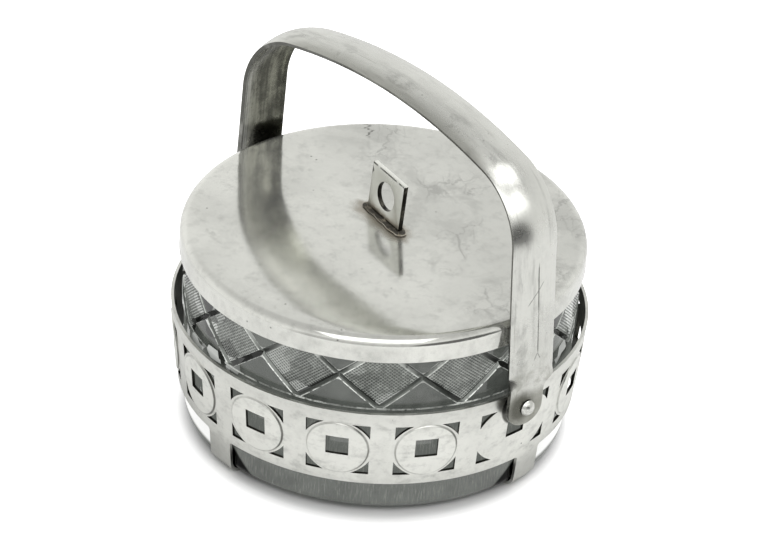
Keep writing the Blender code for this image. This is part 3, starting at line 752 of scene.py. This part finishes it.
def add_modifier(obj, name, kind, **settings):
    modifier = obj.modifiers.new(name, kind)
    for setting, value in settings.items():
        setattr(modifier, setting, value)


def weld(bm, reach=MERGE):
    bmesh.ops.remove_doubles(bm, verts=bm.verts, dist=reach)


def face_outwards(bm):
    bmesh.ops.recalc_face_normals(bm, faces=bm.faces)


def slice_at(bm, point, normal, reach=MERGE, clear=False):
    """Cut along a plane, and clear what lies in front of it if asked."""
    geometry = bm.verts[:] + bm.edges[:] + bm.faces[:]
    bmesh.ops.bisect_plane(bm, geom=geometry, dist=reach, plane_co=point, plane_no=normal,
                           clear_outer=clear)


def turn_about(bm, point, matrix):
    bmesh.ops.rotate(bm, verts=bm.verts, cent=point, matrix=matrix)


def only(kind, geometry):
    return [part for part in geometry if isinstance(part, kind)]


def ends_of(edges):
    return {vert for edge in edges for vert in edge.verts}


def about_z(radius, angle, height):
    return (radius * math.cos(angle), radius * math.sin(angle), height)


def smooth(share):
    share = min(max(share, 0.0), 1.0)
    return share * share * (3 - 2 * share)


def arc(centre, radius, start, end, steps):
    """Points on an arc, angles in degrees, both ends included."""
    points = []
    for i in range(steps + 1):
        angle = math.radians(start + (end - start) * i / steps)
        points.append((centre[0] + radius * math.cos(angle), centre[1] + radius * math.sin(angle)))
    return points


def spun(profile, steps, closed=False):
    """A profile of (radius, height) points turned about Z."""
    bm = bmesh.new()
    verts = [bm.verts.new((r, 0.0, z)) for r, z in profile]
    pairs = list(zip(verts, verts[1:])) + ([(verts[-1], verts[0])] if closed else [])
    edges = [bm.edges.new(pair) for pair in pairs]
    bmesh.ops.spin(bm, geom=verts + edges, cent=(0, 0, 0), axis=(0, 0, 1),
                   angle=FULL_TURN, steps=steps, use_merge=True)
    weld(bm)
    face_outwards(bm)
    return bm


def flat_plate(outlines, thickness):
    """A plate from closed outlines, the first one outside and the rest holes."""
    curve = bpy.data.curves.new("outline", "CURVE")
    curve.dimensions = "2D"
    curve.fill_mode = "BOTH"
    curve.extrude = thickness / 2
    for outline in outlines:
        spline = curve.splines.new("POLY")
        spline.points.add(len(outline) - 1)
        for point, (x, y) in zip(spline.points, outline):
            point.co = (x, y, 0.0, 1.0)
        spline.use_cyclic_u = True
    bm = baked(bpy.data.objects.new("outline", curve))
    bpy.data.curves.remove(curve)
    weld(bm)
    face_outwards(bm)
    return bm


def baked(obj):
    """The finished mesh of an object, which is then removed."""
    scene.collection.objects.link(obj)
    bpy.context.view_layer.update()
    finished = obj.evaluated_get(bpy.context.evaluated_depsgraph_get())
    mesh = bpy.data.meshes.new_from_object(finished)
    bpy.data.objects.remove(obj)
    bm = bmesh.new()
    bm.from_mesh(mesh)
    bpy.data.meshes.remove(mesh)
    return bm


# Lid

def make_lid(finish):
    inner = LID_RADIUS - LID_SHEET
    foot = LID_LOW.z
    corner = arc((LID_RADIUS - LID_CORNER, LID_TOP - LID_CORNER), LID_CORNER, 90, 0, 10)
    hem = arc((LID_RADIUS - LID_HEM, foot + LID_HEM), LID_HEM, 0, -90, 4)
    fillet = LID_CORNER - LID_SHEET
    inside = arc((inner - fillet, LID_TOP - LID_SHEET - fillet), fillet, 0, 90, 5)
    rings = [LID_RADIUS * i / LID_RINGS for i in range(LID_RINGS)]
    profile = [(r, LID_TOP) for r in rings] + corner + hem
    profile += [(inner, foot), *inside]
    profile += [(r, LID_TOP - LID_SHEET) for r in reversed(rings)]
    return keep(spun(profile, LID_STEPS), "lid_plate", [finish], "lid", "lid_metal", "lid")


def tab_place(lean=0.0):
    turn = Matrix.Rotation(TAB_TURN, 4, "Z") @ Matrix.Rotation(-lean, 4, "X")
    return Matrix.Translation((TAB_MIDDLE.x, TAB_MIDDLE.y, TAB_BASE)) @ turn


def make_tab(face, edge):
    half = TAB_WIDTH / 2
    outline = [(-half, 0.0), (half, 0.0), (half, TAB_HEIGHT), (-half, TAB_HEIGHT)]
    last = TAB_HOLE_STEPS - 1
    hole = arc((0.0, TAB_HEIGHT / 2), TAB_HOLE / 2, 0, 360 * last / TAB_HOLE_STEPS, last)
    bm = flat_plate([outline, hole], TAB_THICKNESS)
    turn_about(bm, (0, 0, 0), Matrix.Rotation(QUARTER_TURN, 3, "X"))
    bm.normal_update()
    for wall in bm.faces:
        wall.material_index = 1 if abs(wall.normal.y) < 0.5 else 0
    edges = [e for e in bm.edges if e.is_manifold and e.calc_face_angle() > CREASE]
    bmesh.ops.bevel(bm, geom=edges, offset=TAB_EDGE, offset_type="OFFSET", affect="EDGES",
                    segments=2, profile=0.5, material=-1)
    bmesh.ops.transform(bm, matrix=tab_place(TAB_LEAN), verts=bm.verts)
    keep(bm, "lid_tab_plate", [face, edge], "lid", "lid_metal", "lid_tab")


def make_solder(finish):
    """A low lumpy bead: a ball drawn out along the tab's foot and flattened."""
    reach = TAB_THICKNESS / 2 + SOLDER_REACH
    bm = bmesh.new()
    bmesh.ops.create_uvsphere(bm, u_segments=64, v_segments=24, radius=1.0)
    slice_at(bm, (0, 0, 0), (0, 0, -1), clear=True)
    bmesh.ops.holes_fill(bm, edges=[e for e in bm.edges if e.is_boundary])
    for vert in bm.verts:
        end = math.copysign(TAB_WIDTH / 2, vert.co.x) if abs(vert.co.x) > MERGE else 0.0
        vert.co = (end + vert.co.x * reach, vert.co.y * reach, vert.co.z * SOLDER_HEIGHT)
    long = [e for e in bm.edges if e.calc_length() > TAB_WIDTH / 2]
    bmesh.ops.subdivide_edges(bm, edges=long, cuts=SOLDER_CUTS, use_grid_fill=True)
    for vert in bm.verts:
        x, y, z = vert.co
        lump = 1 + SOLDER_LUMPS * math.sin(760 * x + 1) * math.cos(500 * y - 420 * x)
        vert.co = (x, y * lump, z * lump)
    bmesh.ops.transform(bm, matrix=tab_place(), verts=bm.verts)
    keep(bm, "tab_solder_bead", [finish], "lid", "solder", "tab_solder", sharp=60)


# Glass bowl

def diamond_cell(hatched):
    """One flat cell of the cutting, from -0.5 to 0.5 each way, its border sunk into the mitre cuts."""
    bm = bmesh.new()
    ground, edge, cut = glass_layers(bm)
    bmesh.ops.create_grid(bm, x_segments=HATCH_LINES, y_segments=HATCH_LINES, size=0.5 - MITRE_SHARE)
    if hatched:
        for vert in bm.verts:
            vert.co.z = -HATCH_DEPTH
            vert[ground] = HATCH_GROUND
        for vert in bmesh.ops.poke(bm, faces=bm.faces[:], offset=HATCH_DEPTH)["verts"]:
            vert[ground] = 0.0
    border = [e for e in bm.edges if e.is_boundary]
    for vert in ends_of(border):
        vert[edge] = 1.0
    made = bmesh.ops.extrude_edge_only(bm, edges=border)["geom"]
    for face in only(BMFace, made):
        face[cut] = 1.0
    for vert in only(BMVert, made):
        x, y = vert.co.xy * 0.5 / (0.5 - MITRE_SHARE)
        vert.co = (x, y, -MITRE_DEPTH)
        vert[ground] = vert[edge] = 0.0
    return bm


def glass_layers(bm):
    """Layers: corners in a ground line, corners on the edge of a cut, faces that are walls of cuts."""
    verts, faces = bm.verts.layers.float, bm.faces.layers.float
    return [layers.get(name) or layers.new(name)
            for layers, name in ((verts, "ground"), (verts, "edge"), (faces, "cut"))]


def roll_cell(target, cell, column, row):
    """Copy a flat cell onto the glass: columns and rows count along the two sets of cuts."""
    ground, edge, cut = glass_layers(target)
    own_ground, own_edge, own_cut = glass_layers(cell)
    rolled = {}
    for flat in cell.verts:
        p, q = column + 0.5 + flat.co.x, row + 0.5 + flat.co.y
        angle = DIAMOND_PHASE + math.pi / DIAMONDS * (p + q)
        height = CROSSING + (p - q) * DIAMOND_HEIGHT / 2
        vert = target.verts.new(about_z(GLASS_RADIUS + flat.co.z, angle, height))
        vert[ground], vert[edge] = flat[own_ground], flat[own_edge]
        rolled[flat] = vert
    for flat in cell.faces:
        target.faces.new([rolled[vert] for vert in flat.verts])[cut] = flat[own_cut]


def half_cell(upper):
    """The half of a plain cell that lies above or below a crossing of the cuts."""
    cell = diamond_cell(False)
    side = 1 if upper else -1
    slice_at(cell, (0, 0, 0), (side, -side, 0), clear=True)
    return cell


def draw_out(bm, edges, places, lined=0):
    """Extrude a closed edge loop through rings of (radius, height), the first few of them ground."""
    ground, edge, cut = glass_layers(bm)
    for i, (radius, height) in enumerate(places):
        made = bmesh.ops.extrude_edge_only(bm, edges=edges)["geom"]
        edges = only(BMEdge, made)
        for face in only(BMFace, made):
            face[cut] = 0.0
        for vert in ends_of(edges):
            vert.co = about_z(radius, math.atan2(vert.co.y, vert.co.x), height)
            vert[ground] = 0.0
            vert[edge] = 1.0 if i < lined else 0.0
    bmesh.ops.pointmerge(bm, verts=list(ends_of(edges)), merge_co=(0.0, 0.0, places[-1][1]))


def glass_outside():
    """Rings from the ridge under the diamonds down round the foot to the middle of the base."""
    foot = arc((FOOT_RADIUS - FOOT_ROUND, GLASS_BASE + FOOT_ROUND), FOOT_ROUND, 0, -90, 8)
    ridge = [(GLASS_RADIUS, RIDGE - 0.0002), (GLASS_RADIUS - 0.0001, RIDGE - 0.0008),
             (GLASS_RADIUS - 0.0006, RIDGE - 0.0011), (GLASS_RADIUS - 0.0007, RIDGE - 0.0030)]
    return [*ridge, *foot, *[(radius, GLASS_BASE) for radius in GLASS_MIDDLES]]


def glass_inside():
    """Rings from the top of the cutting over the rim and down inside to the middle of the floor."""
    inner = GLASS_RADIUS - GLASS_WALL
    inner_foot = FOOT_RADIUS - GLASS_WALL
    floor = GLASS_BASE + GLASS_FLOOR
    over = arc((GLASS_RADIUS - RIM_ROUND, GLASS_RIM - RIM_ROUND), RIM_ROUND, 0, 90, 6)
    into = arc((inner + GLASS_EASE, GLASS_RIM - GLASS_EASE), GLASS_EASE, 90, 180, 4)
    fillet = arc((inner_foot - GLASS_FILLET, floor + GLASS_FILLET), GLASS_FILLET, 0, -90, 8)
    return [*over, *into, *fillet, *[(radius, floor) for radius in GLASS_MIDDLES]]


def make_glass(finish):
    bm = bmesh.new()
    glass_layers(bm)
    hatched, upper, lower = diamond_cell(True), half_cell(True), half_cell(False)
    for k in range(DIAMONDS):
        roll_cell(bm, hatched, k, k)
        roll_cell(bm, upper, k, k - 1)
        roll_cell(bm, lower, k - 1, k)
    for cell in (hatched, upper, lower):
        cell.free()
    weld(bm, CELL_MERGE)
    border = [e for e in bm.edges if e.is_boundary]
    top, bottom = [], []
    for edge in border:
        (top if edge.verts[0].co.z > CROSSING else bottom).append(edge)
    draw_out(bm, top, glass_inside())
    draw_out(bm, bottom, glass_outside(), 2)
    face_outwards(bm)
    keep(bm, "cut_glass_bowl", [finish], "bowl", "cut_glass", "glass_bowl", sharp=24)


# Holder band

def along_strip(angle):
    return math.radians((angle - SEAM) % 360.0) * STRIP_RADIUS


def leg_outline(middle):
    half = LEG_WIDTH / 2
    end = -(LEG_FLAT + LEG_CURL + TOE_LENGTH)
    left, right = middle - half, middle + half
    return [
        *arc((left - LEG_FILLET, -LEG_FILLET), LEG_FILLET, 90, 0, 6),
        *arc((left + TOE_CORNER, end + TOE_CORNER), TOE_CORNER, 180, 270, 6),
        *arc((right - TOE_CORNER, end + TOE_CORNER), TOE_CORNER, 270, 360, 6),
        *arc((right + LEG_FILLET, -LEG_FILLET), LEG_FILLET, 180, 90, 6),
    ]


def strip_outline():
    outline = [(0.0, 0.0)]
    for middle in sorted(along_strip(angle) for angle in LEG_ANGLES):
        outline += leg_outline(middle)
    return outline + [(STRIP_LENGTH, 0.0), (STRIP_LENGTH, STRIP_HEIGHT), (0.0, STRIP_HEIGHT)]


def corner_hole(x, width, side_x, side_y):
    """A three-sided hole in one corner of a panel, its long side bowed towards the corner."""
    corner = Vector((width / 2, PANEL_HEIGHT / 2))
    start = corner - Vector((CORNER_WIDTH, 0.0))
    end = corner - Vector((0.0, CORNER_HEIGHT))
    bow = (corner - (start + end) / 2).normalized() * CORNER_BOW
    points = [corner]
    for i in range(CORNER_STEPS + 1):
        share = i / CORNER_STEPS
        points.append(start.lerp(end, share) + bow * 4 * share * (1 - share))
    return [(x + side_x * point.x, PANEL_MIDDLE + side_y * point.y) for point in points]


def panel_holes(x, width):
    left, right = x - EYE_WIDTH / 2, x + EYE_WIDTH / 2
    low, high = [PANEL_MIDDLE + EYE_LIFT + half for half in (-EYE_HEIGHT / 2, EYE_HEIGHT / 2)]
    eye = [(left, low), (right, low), (right, high), (left, high)]
    return [eye, *[corner_hole(x, width, i, j) for i in (-1, 1) for j in (-1, 1)]]


def strip_holes():
    holes = []
    for angle in PANEL_ANGLES:
        holes += panel_holes(along_strip(angle), PANEL_WIDTH)
    for angle in PIVOT_ANGLES:
        holes += panel_holes(along_strip(angle), PIVOT_PANEL_WIDTH)
    return holes


def disc_grooves():
    """V-shaped rings that cut each disc's outline into the strip's outer face."""
    bm = bmesh.new()
    low, high = BAND_SHEET / 2 - GROOVE_DEPTH, BAND_SHEET / 2 + GROOVE_DEPTH
    wide = 2 * GROOVE_HALF_WIDTH
    for angle in PANEL_ANGLES:
        section = [(DISC_RADIUS, low), (DISC_RADIUS + wide, high), (DISC_RADIUS - wide, high)]
        verts = [bm.verts.new((r, 0.0, z)) for r, z in section]
        edges = [bm.edges.new((verts[i], verts[(i + 1) % 3])) for i in range(3)]
        bmesh.ops.spin(bm, geom=verts + edges, cent=(0, 0, 0), axis=(0, 0, 1),
                       angle=FULL_TURN, steps=DISC_STEPS, use_merge=True)
        ring = {v for v in bm.verts if not v.tag}
        bmesh.ops.translate(bm, verts=list(ring), vec=(along_strip(angle), PANEL_MIDDLE, 0.0))
        for vert in ring:
            vert.tag = True
    face_outwards(bm)
    return bm


def grooved_strip():
    strip = object_from(flat_plate([strip_outline(), *strip_holes()], BAND_SHEET), "strip")
    cutter = object_from(disc_grooves(), "disc_grooves")
    scene.collection.objects.link(cutter)
    add_modifier(strip, "Disc outlines", "BOOLEAN", object=cutter, operation="DIFFERENCE",
                 solver="EXACT")
    bm = baked(strip)
    bpy.data.objects.remove(cutter)
    return bm


def slice_strip(bm):
    """Cut the flat strip across and along at even steps, and its legs along their bends."""
    planes = [((STRIP_LENGTH * i / BAND_COLUMNS, 0, 0), (1, 0, 0)) for i in range(1, BAND_COLUMNS)]
    rows = [STRIP_HEIGHT * i / BAND_ROWS for i in range(1, BAND_ROWS)]
    rows += [-LEG_FLAT - LEG_CURL * i / LEG_BEND_ROWS for i in range(LEG_BEND_ROWS + 1)]
    planes += [((0, height, 0), (0, 1, 0)) for height in rows]
    for point, normal in planes:
        slice_at(bm, point, normal, SLICE_REACH)


def strip_section(height, depth):
    """Radius and height of a point of the strip after rolling, from its flat height and depth."""
    out = Vector((math.cos(BAND_SLOPE), -math.sin(BAND_SLOPE)))
    up = Vector((math.sin(BAND_SLOPE), math.cos(BAND_SLOPE)))
    below = -height - LEG_FLAT
    if below <= 0:
        return Vector((BAND_FOOT, LEG_HEIGHT)) + up * height + out * depth
    centre = Vector((TOE_START, BAND_SHEET / 2 + LEG_BEND))
    turn = min(below, LEG_CURL) / LEG_BEND
    angle = -BAND_SLOPE - turn
    out = Vector((math.cos(angle), math.sin(angle)))
    return centre + out * (LEG_BEND + depth) - Vector((below - LEG_BEND * turn, 0.0))


def takes_painted_shade(face):
    """True for a face of the flat strip that takes the painted shade: its inside or the wall of a hole.
    """
    middle = face.calc_center_median()
    wall = abs(face.normal.z) < 0.5 and MERGE < middle.y < STRIP_HEIGHT - MERGE
    return wall or middle.z < MERGE - BAND_SHEET / 2


def make_band(outside, inside):
    bm = grooved_strip()
    slice_strip(bm)
    bm.normal_update()
    # The inside and the walls of the holes take the painted shade.
    for face in bm.faces:
        face.material_index = 1 if takes_painted_shade(face) else 0
    ends = [f for f in bm.faces if all(v.co.x < MERGE for v in f.verts)
            or all(v.co.x > STRIP_LENGTH - MERGE for v in f.verts)]
    bmesh.ops.delete(bm, geom=ends, context="FACES")
    along, disc, lean = [bm.verts.layers.float.new(name) for name in ("along", "disc", "lean")]
    discs = [along_strip(angle) for angle in PANEL_ANGLES]
    for vert in bm.verts:
        x, y, depth = vert.co
        side = min((x - place for place in discs), key=abs)
        far = math.hypot(side, y - PANEL_MIDDLE)
        vert[along], vert[disc], vert[lean] = x, far, side / DISC_RADIUS
        lift = DISC_RISE * smooth((DISC_RADIUS - far) / GROOVE_HALF_WIDTH / 2 + 0.5)
        radius, height = strip_section(y, depth + lift)
        vert.co = about_z(radius, math.radians(SEAM) + x / STRIP_RADIUS, height)
    weld(bm, SEAM_MERGE)
    face_outwards(bm)
    keep(bm, "pierced_band", [outside, inside], "holder", "holder_metal", "holder_band", sharp=22)


# Handle

def strap_rows():
    """Rows of half the strap, crown to tongue tip: (x, z, angle from upright, half width, dome)."""
    across = STRAP_MIDDLE - BEND_RADIUS * (math.cos(LEG_LEAN) - math.cos(ARCH_START))
    upwards = STRAP_CROWN - PIVOT - LEG_STRAIGHT
    upwards -= BEND_RADIUS * (math.sin(ARCH_START) - math.sin(LEG_LEAN))
    # The straight leg and the crown's arc take up what the bend leaves: two sums with two unknowns
    a, b = math.sin(LEG_LEAN), math.cos(ARCH_START)
    c, d = math.cos(LEG_LEAN), 1 - math.sin(ARCH_START)
    leg = (across * d - b * upwards) / (a * d - b * c)
    crown = (a * upwards - c * across) / (a * d - b * c)
    x, z = STRAP_MIDDLE, PIVOT + LEG_STRAIGHT
    path = [(x, z, LEG_LEAN / 2)]
    for i in range(1, LEG_STEPS + 1):
        run = leg * i / LEG_STEPS
        path.append((x - run * a, z + run * c, LEG_LEAN))
    for radius, start, end, steps in ((BEND_RADIUS, LEG_LEAN, ARCH_START, BEND_STEPS),
                                      (crown, ARCH_START, QUARTER_TURN, CROWN_STEPS)):
        x, z = path[-1][:2]
        for i in range(1, steps + 1):
            angle = start + (end - start) * i / steps
            path.append((x - radius * (math.cos(start) - math.cos(angle)),
                         z + radius * (math.sin(angle) - math.sin(start)), angle))
    return [(*point, STRAP_WIDTH / 2, STRAP_DOME) for point in reversed(path)] + tongue_rows()


def tongue_rows():
    """Rows from the upright strap down over the shoulder and round the tongue."""
    rows = []
    for i in range(1, SHOULDER_STEPS + 1):
        height = SHOULDER_FADE + (SHOULDER_LOW - SHOULDER_FADE) * i / SHOULDER_STEPS
        above = height - SHOULDER_LOW
        widened = smooth(above / (SHOULDER_HIGH - SHOULDER_LOW))
        dome = STRAP_DOME * smooth(above / (SHOULDER_FADE - SHOULDER_LOW))
        width = TONGUE_RADIUS + (STRAP_WIDTH / 2 - TONGUE_RADIUS) * widened
        rows.append((STRAP_MIDDLE, PIVOT + height, 0.0, width, dome))
    for i in range(1, NECK_STEPS):
        height = SHOULDER_LOW * (1 - i / NECK_STEPS)
        rows.append((STRAP_MIDDLE, PIVOT + height, 0.0, TONGUE_RADIUS, 0.0))
    for i in range(TONGUE_STEPS):
        angle = QUARTER_TURN * i / TONGUE_STEPS
        rows.append((STRAP_MIDDLE, PIVOT - TONGUE_TIP * math.sin(angle), 0.0,
                     TONGUE_RADIUS * math.cos(angle), 0.0))
    return rows


def strap_drift(rows):
    """How far each row of the strap sits towards +Y of its middle plane."""
    head = CROWN_STEPS + BEND_STEPS
    steps = [math.dist(a[:2], b[:2]) for a, b in zip(rows, rows[1:])]
    drift = [LEG_HEAD_DRIFT * smooth(sum(steps[:i]) / sum(steps[:head])) for i in range(head)]
    high, low = rows[head][1], PIVOT + LEG_STRAIGHT
    for row in rows[head:]:
        share = min((high - row[1]) / (high - low), 1.0)
        place = LEG_HEAD_DRIFT + (LEG_FOOT_DRIFT - LEG_HEAD_DRIFT) * share
        shoulder = smooth((PIVOT + SHOULDER_HIGH - row[1]) / (SHOULDER_HIGH - SHOULDER_LOW))
        drift.append(place + (TONGUE_SHIFT - place) * shoulder)
    return drift


def make_handle(outside, inside, edge):
    """Half of the domed strap, drawn from the crown to the tongue, then mirrored and thickened."""
    rows = strap_rows()
    bm = bmesh.new()
    along, across = [bm.verts.layers.float.new(name) for name in ("along", "across")]
    shares = [2 * i / STRAP_COLUMNS - 1 for i in range(STRAP_COLUMNS + 1)]
    line = [bm.verts.new((0.0, share * rows[0][3], 0.0)) for share in shares]
    edges = [bm.edges.new(pair) for pair in zip(line, line[1:])]
    travelled, moved, last = 0.0, 0.0, rows[0]
    for row, shift in zip(rows, strap_drift(rows)):
        x, z, angle, half, dome = row
        if row is not last:
            edges = only(BMEdge, bmesh.ops.extrude_edge_only(bm, edges=edges)["geom"])
            travelled += math.dist(row[:2], last[:2])
        for vert in ends_of(edges):
            share = (vert.co.y - moved) / last[3]
            drop = dome * share * share
            vert.co = (x - drop * math.cos(angle), share * half + shift, z - drop * math.sin(angle))
            vert[along], vert[across] = travelled, share * half
        last, moved = row, shift
    for vert in bm.verts:
        vert.co.x = max(vert.co.x, 0.0)
    bmesh.ops.translate(bm, verts=bm.verts, vec=(0.0, PIVOT_SIDE, 0.0))
    turn_about(bm, RIVET_AXIS, Matrix.Rotation(-HANDLE_LEAN, 3, "X"))
    face_outwards(bm)
    crown = max(bm.faces, key=lambda face: face.calc_center_median().z)
    if crown.normal.z < 0:
        bmesh.ops.reverse_faces(bm, faces=bm.faces)
    obj = keep(bm, "handle_strap", [outside, inside, edge], "handle", "handle_metal", "bail_handle")
    add_modifier(obj, "Other leg", "MIRROR", use_axis=(True, False, False),
                 merge_threshold=MIRROR_MERGE)
    add_modifier(obj, "Sheet", "SOLIDIFY", thickness=STRAP_SHEET, offset=0.0, use_even_offset=True,
                 material_offset=1, material_offset_rim=2)
    add_modifier(obj, "Worn edges", "BEVEL", width=STRAP_EDGE, segments=3, limit_method="ANGLE",
                 angle_limit=CREASE, profile=0.5, harden_normals=False)


# Rivets and spacers

def make_turned(profile, side, finish, name, slot, node, closed=False):
    """A turned piece on the pivot axis, its top pointing outwards."""
    bm = spun(profile, RIVET_STEPS, closed)
    turn_about(bm, (0, 0, 0), Matrix.Rotation(side * QUARTER_TURN, 3, "Y"))
    bmesh.ops.translate(bm, verts=bm.verts, vec=RIVET_AXIS)
    keep(bm, name, [finish], "holder", slot, node)


def make_rivet(name, side, finish):
    seat = RIVET_HIGH.x - RIVET_HEAD_HEIGHT
    tail = RIVET_LOW.x + RIVET_TAIL_HEIGHT
    dome = (RIVET_HEAD_RADIUS ** 2 + RIVET_HEAD_HEIGHT ** 2) / (2 * RIVET_HEAD_HEIGHT)
    reach = math.degrees(math.asin(RIVET_HEAD_RADIUS / dome))
    head = arc((0.0, seat + RIVET_HEAD_HEIGHT - dome), dome, 90, 90 - reach, 12)
    round_off = RIVET_TAIL_HEIGHT / 2
    upset = arc((RIVET_TAIL_RADIUS - round_off, tail - round_off), round_off, 90, -90, 6)
    profile = [(0.0, head[0][1]), *head[1:], (RIVET_RADIUS, seat), (RIVET_RADIUS, tail), *upset,
               (0.0, tail - RIVET_TAIL_HEIGHT)]
    make_turned(profile, side, finish, "rivet_" + name, "rivet_metal", "pivot_rivet_" + name)


def make_spacer(name, side, finish):
    low, high = SPACER_LOW.x, SPACER_HIGH.x
    eased = SPACER_RADIUS - SPACER_EASE
    profile = [(SPACER_HOLE, high), (eased, high), (SPACER_RADIUS, high - SPACER_EASE),
               (SPACER_RADIUS, low + SPACER_EASE), (eased, low), (SPACER_HOLE, low)]
    make_turned(profile, side, finish, "spacer_" + name, "holder_metal", "pivot_spacer_" + name, True)


# Studio

def make_floor():
    """A plain pale floor: it takes the shadow, and shows white to the camera and in reflections."""
    bm = bmesh.new()
    bmesh.ops.create_grid(bm, x_segments=1, y_segments=1, size=FLOOR_REACH)
    floor = object_from(bm, "floor")
    scene.collection.objects.link(floor)
    floor.location.z = cad_box[0].z - FLOOR_DROP
    material = bpy.data.materials.new("pale_floor")
    nodes = bare_nodes(material)
    camera, reflected = direct_rays(nodes)
    middle = TOWARDS_CAMERA * SHADOW_AHEAD
    ahead = nodes.distance(nodes.x - middle.x, nodes.y - middle.y)
    colour = nodes.blend(nodes.noise(12.0, 2.0), *FLOOR_TONES)
    diffuse = nodes.node("BsdfDiffuse", {"Color": colour}).outputs[0]
    near, beyond = ahead.rise(0.0520, 0.0590), ahead.rise(0.0560, 0.0640)
    away = nodes.distance(nodes.x, nodes.y).rise(0.056, 0.078)
    strength = camera * (near * FLOOR_GLOW + beyond * FLOOR_BEYOND)
    strength = strength + reflected * away * FLOOR_REFLECTED
    glow = nodes.node("Emission", {"Strength": strength}).outputs[0]
    both = nodes.node("AddShader", {0: diffuse, 1: glow}).outputs[0]
    nodes.node("OutputMaterial", {"Surface": both})
    floor.data.materials.append(material)


def bare_nodes(owner, coordinates="Object"):
    owner.use_nodes = True
    owner.node_tree.nodes.clear()
    return Nodes(owner.node_tree, coordinates)


def direct_rays(nodes):
    """1 for a ray from the camera, and 1 for one that comes by way of metal or glass."""
    path = nodes.node("LightPath")
    names = ("Is Camera Ray", "Is Glossy Ray", "Is Transmission Ray")
    camera, glossy, through = [Value(nodes, path.outputs[name]) for name in names]
    return camera, glossy.most(through) * (1 - camera)


def make_room():
    """The surrounding light: even, but shaded above and beside the camera in reflections."""
    world = bpy.data.worlds.new("pale_room")
    scene.world = world
    nodes = bare_nodes(world, "Generated")
    x, y, z = nodes.x, nodes.y, nodes.z
    shade = ROOM_WHITE - z.rise(0.30, 0.97) * (ROOM_WHITE - ROOM_TOP)
    behind = (x * TOWARDS_CAMERA.x + y * TOWARDS_CAMERA.y).rise(0.62, 0.80) * z.rise(0.44, 0.30)
    beside = x.rise(0.87, 0.94) * z.rise(0.44, 0.36)
    shade = (shade - (behind * ROOM_BEHIND).most(beside * ROOM_BESIDE)).most(0.0)
    camera, reflected = direct_rays(nodes)
    strength = camera + reflected * shade + (1 - camera - reflected) * ROOM_LIGHT
    light = nodes.node("Background", {"Color": ROOM_COLOUR, "Strength": strength}).outputs[0]
    nodes.node("OutputWorld", {"Surface": light})


def make_lamp(name, place, width, height, power, spared=()):
    """A softbox aimed at the jar. Pieces spared by it are flagged off, so that no glare lies on them."""
    lamp = bpy.data.lights.new(name, "AREA")
    lamp.shape = "RECTANGLE"
    lamp.size, lamp.size_y = width, height
    lamp.energy = power
    obj = bpy.data.objects.new(name, lamp)
    obj.location = place
    aim = Vector((0.0, 0.0, AIM_HEIGHT)) - Vector(place)
    obj.rotation_euler = aim.to_track_quat("-Z", "Y").to_euler()
    scene.collection.objects.link(obj)
    if spared:
        flags = bpy.data.collections.new(name + "_flags")
        for piece in spared:
            flags.objects.link(piece)
        for flag in flags.collection_objects:
            flag.light_linking.link_state = "EXCLUDE"
        obj.light_linking.receiver_collection = flags


def make_camera():
    angles = (CAMERA_AZIMUTH, CAMERA_ELEVATION, CAMERA_ROLL)
    azimuth, elevation, roll = map(math.radians, angles)
    view = Matrix.Rotation(azimuth, 4, "Z") @ Matrix.Rotation(QUARTER_TURN - elevation, 4, "X")
    aim = Matrix.Translation((0.0, 0.0, AIM_HEIGHT))
    back = Matrix.Translation((AIM_RIGHT, 0.0, CAMERA_DISTANCE))
    data = bpy.data.cameras.new("camera")
    data.sensor_width = SENSOR_WIDTH
    data.lens = FOCAL_LENGTH / PHOTO_WIDTH * SENSOR_WIDTH
    camera = bpy.data.objects.new("camera", data)
    camera.matrix_world = aim @ view @ back @ Matrix.Rotation(roll, 4, "Z")
    scene.collection.objects.link(camera)
    scene.camera = camera


def make_pieces():
    """All the pieces; the lid comes back, for the lamps that spare it."""
    lid = make_lid(lid_finish())
    make_tab(tab_finish(), tab_edge())
    make_solder(solder_finish())
    make_glass(glass_finish())
    # The band's painted shade also lies on the spacers.
    inside = band_shade()
    make_band(band_finish(), inside)
    make_handle(strap_outside(), strap_inside(), strap_edge())
    rivet = rivet_finish()
    for name, side in (("near", 1), ("far", -1)):
        make_rivet(name, side, rivet)
        make_spacer(name, side, inside)
    return lid


lid = make_pieces()
make_floor()
make_room()
for *softbox, spares_lid in SOFTBOXES:
    make_lamp(*softbox, [lid] if spares_lid else [])
make_camera()
scene.view_settings.view_transform = "Standard"
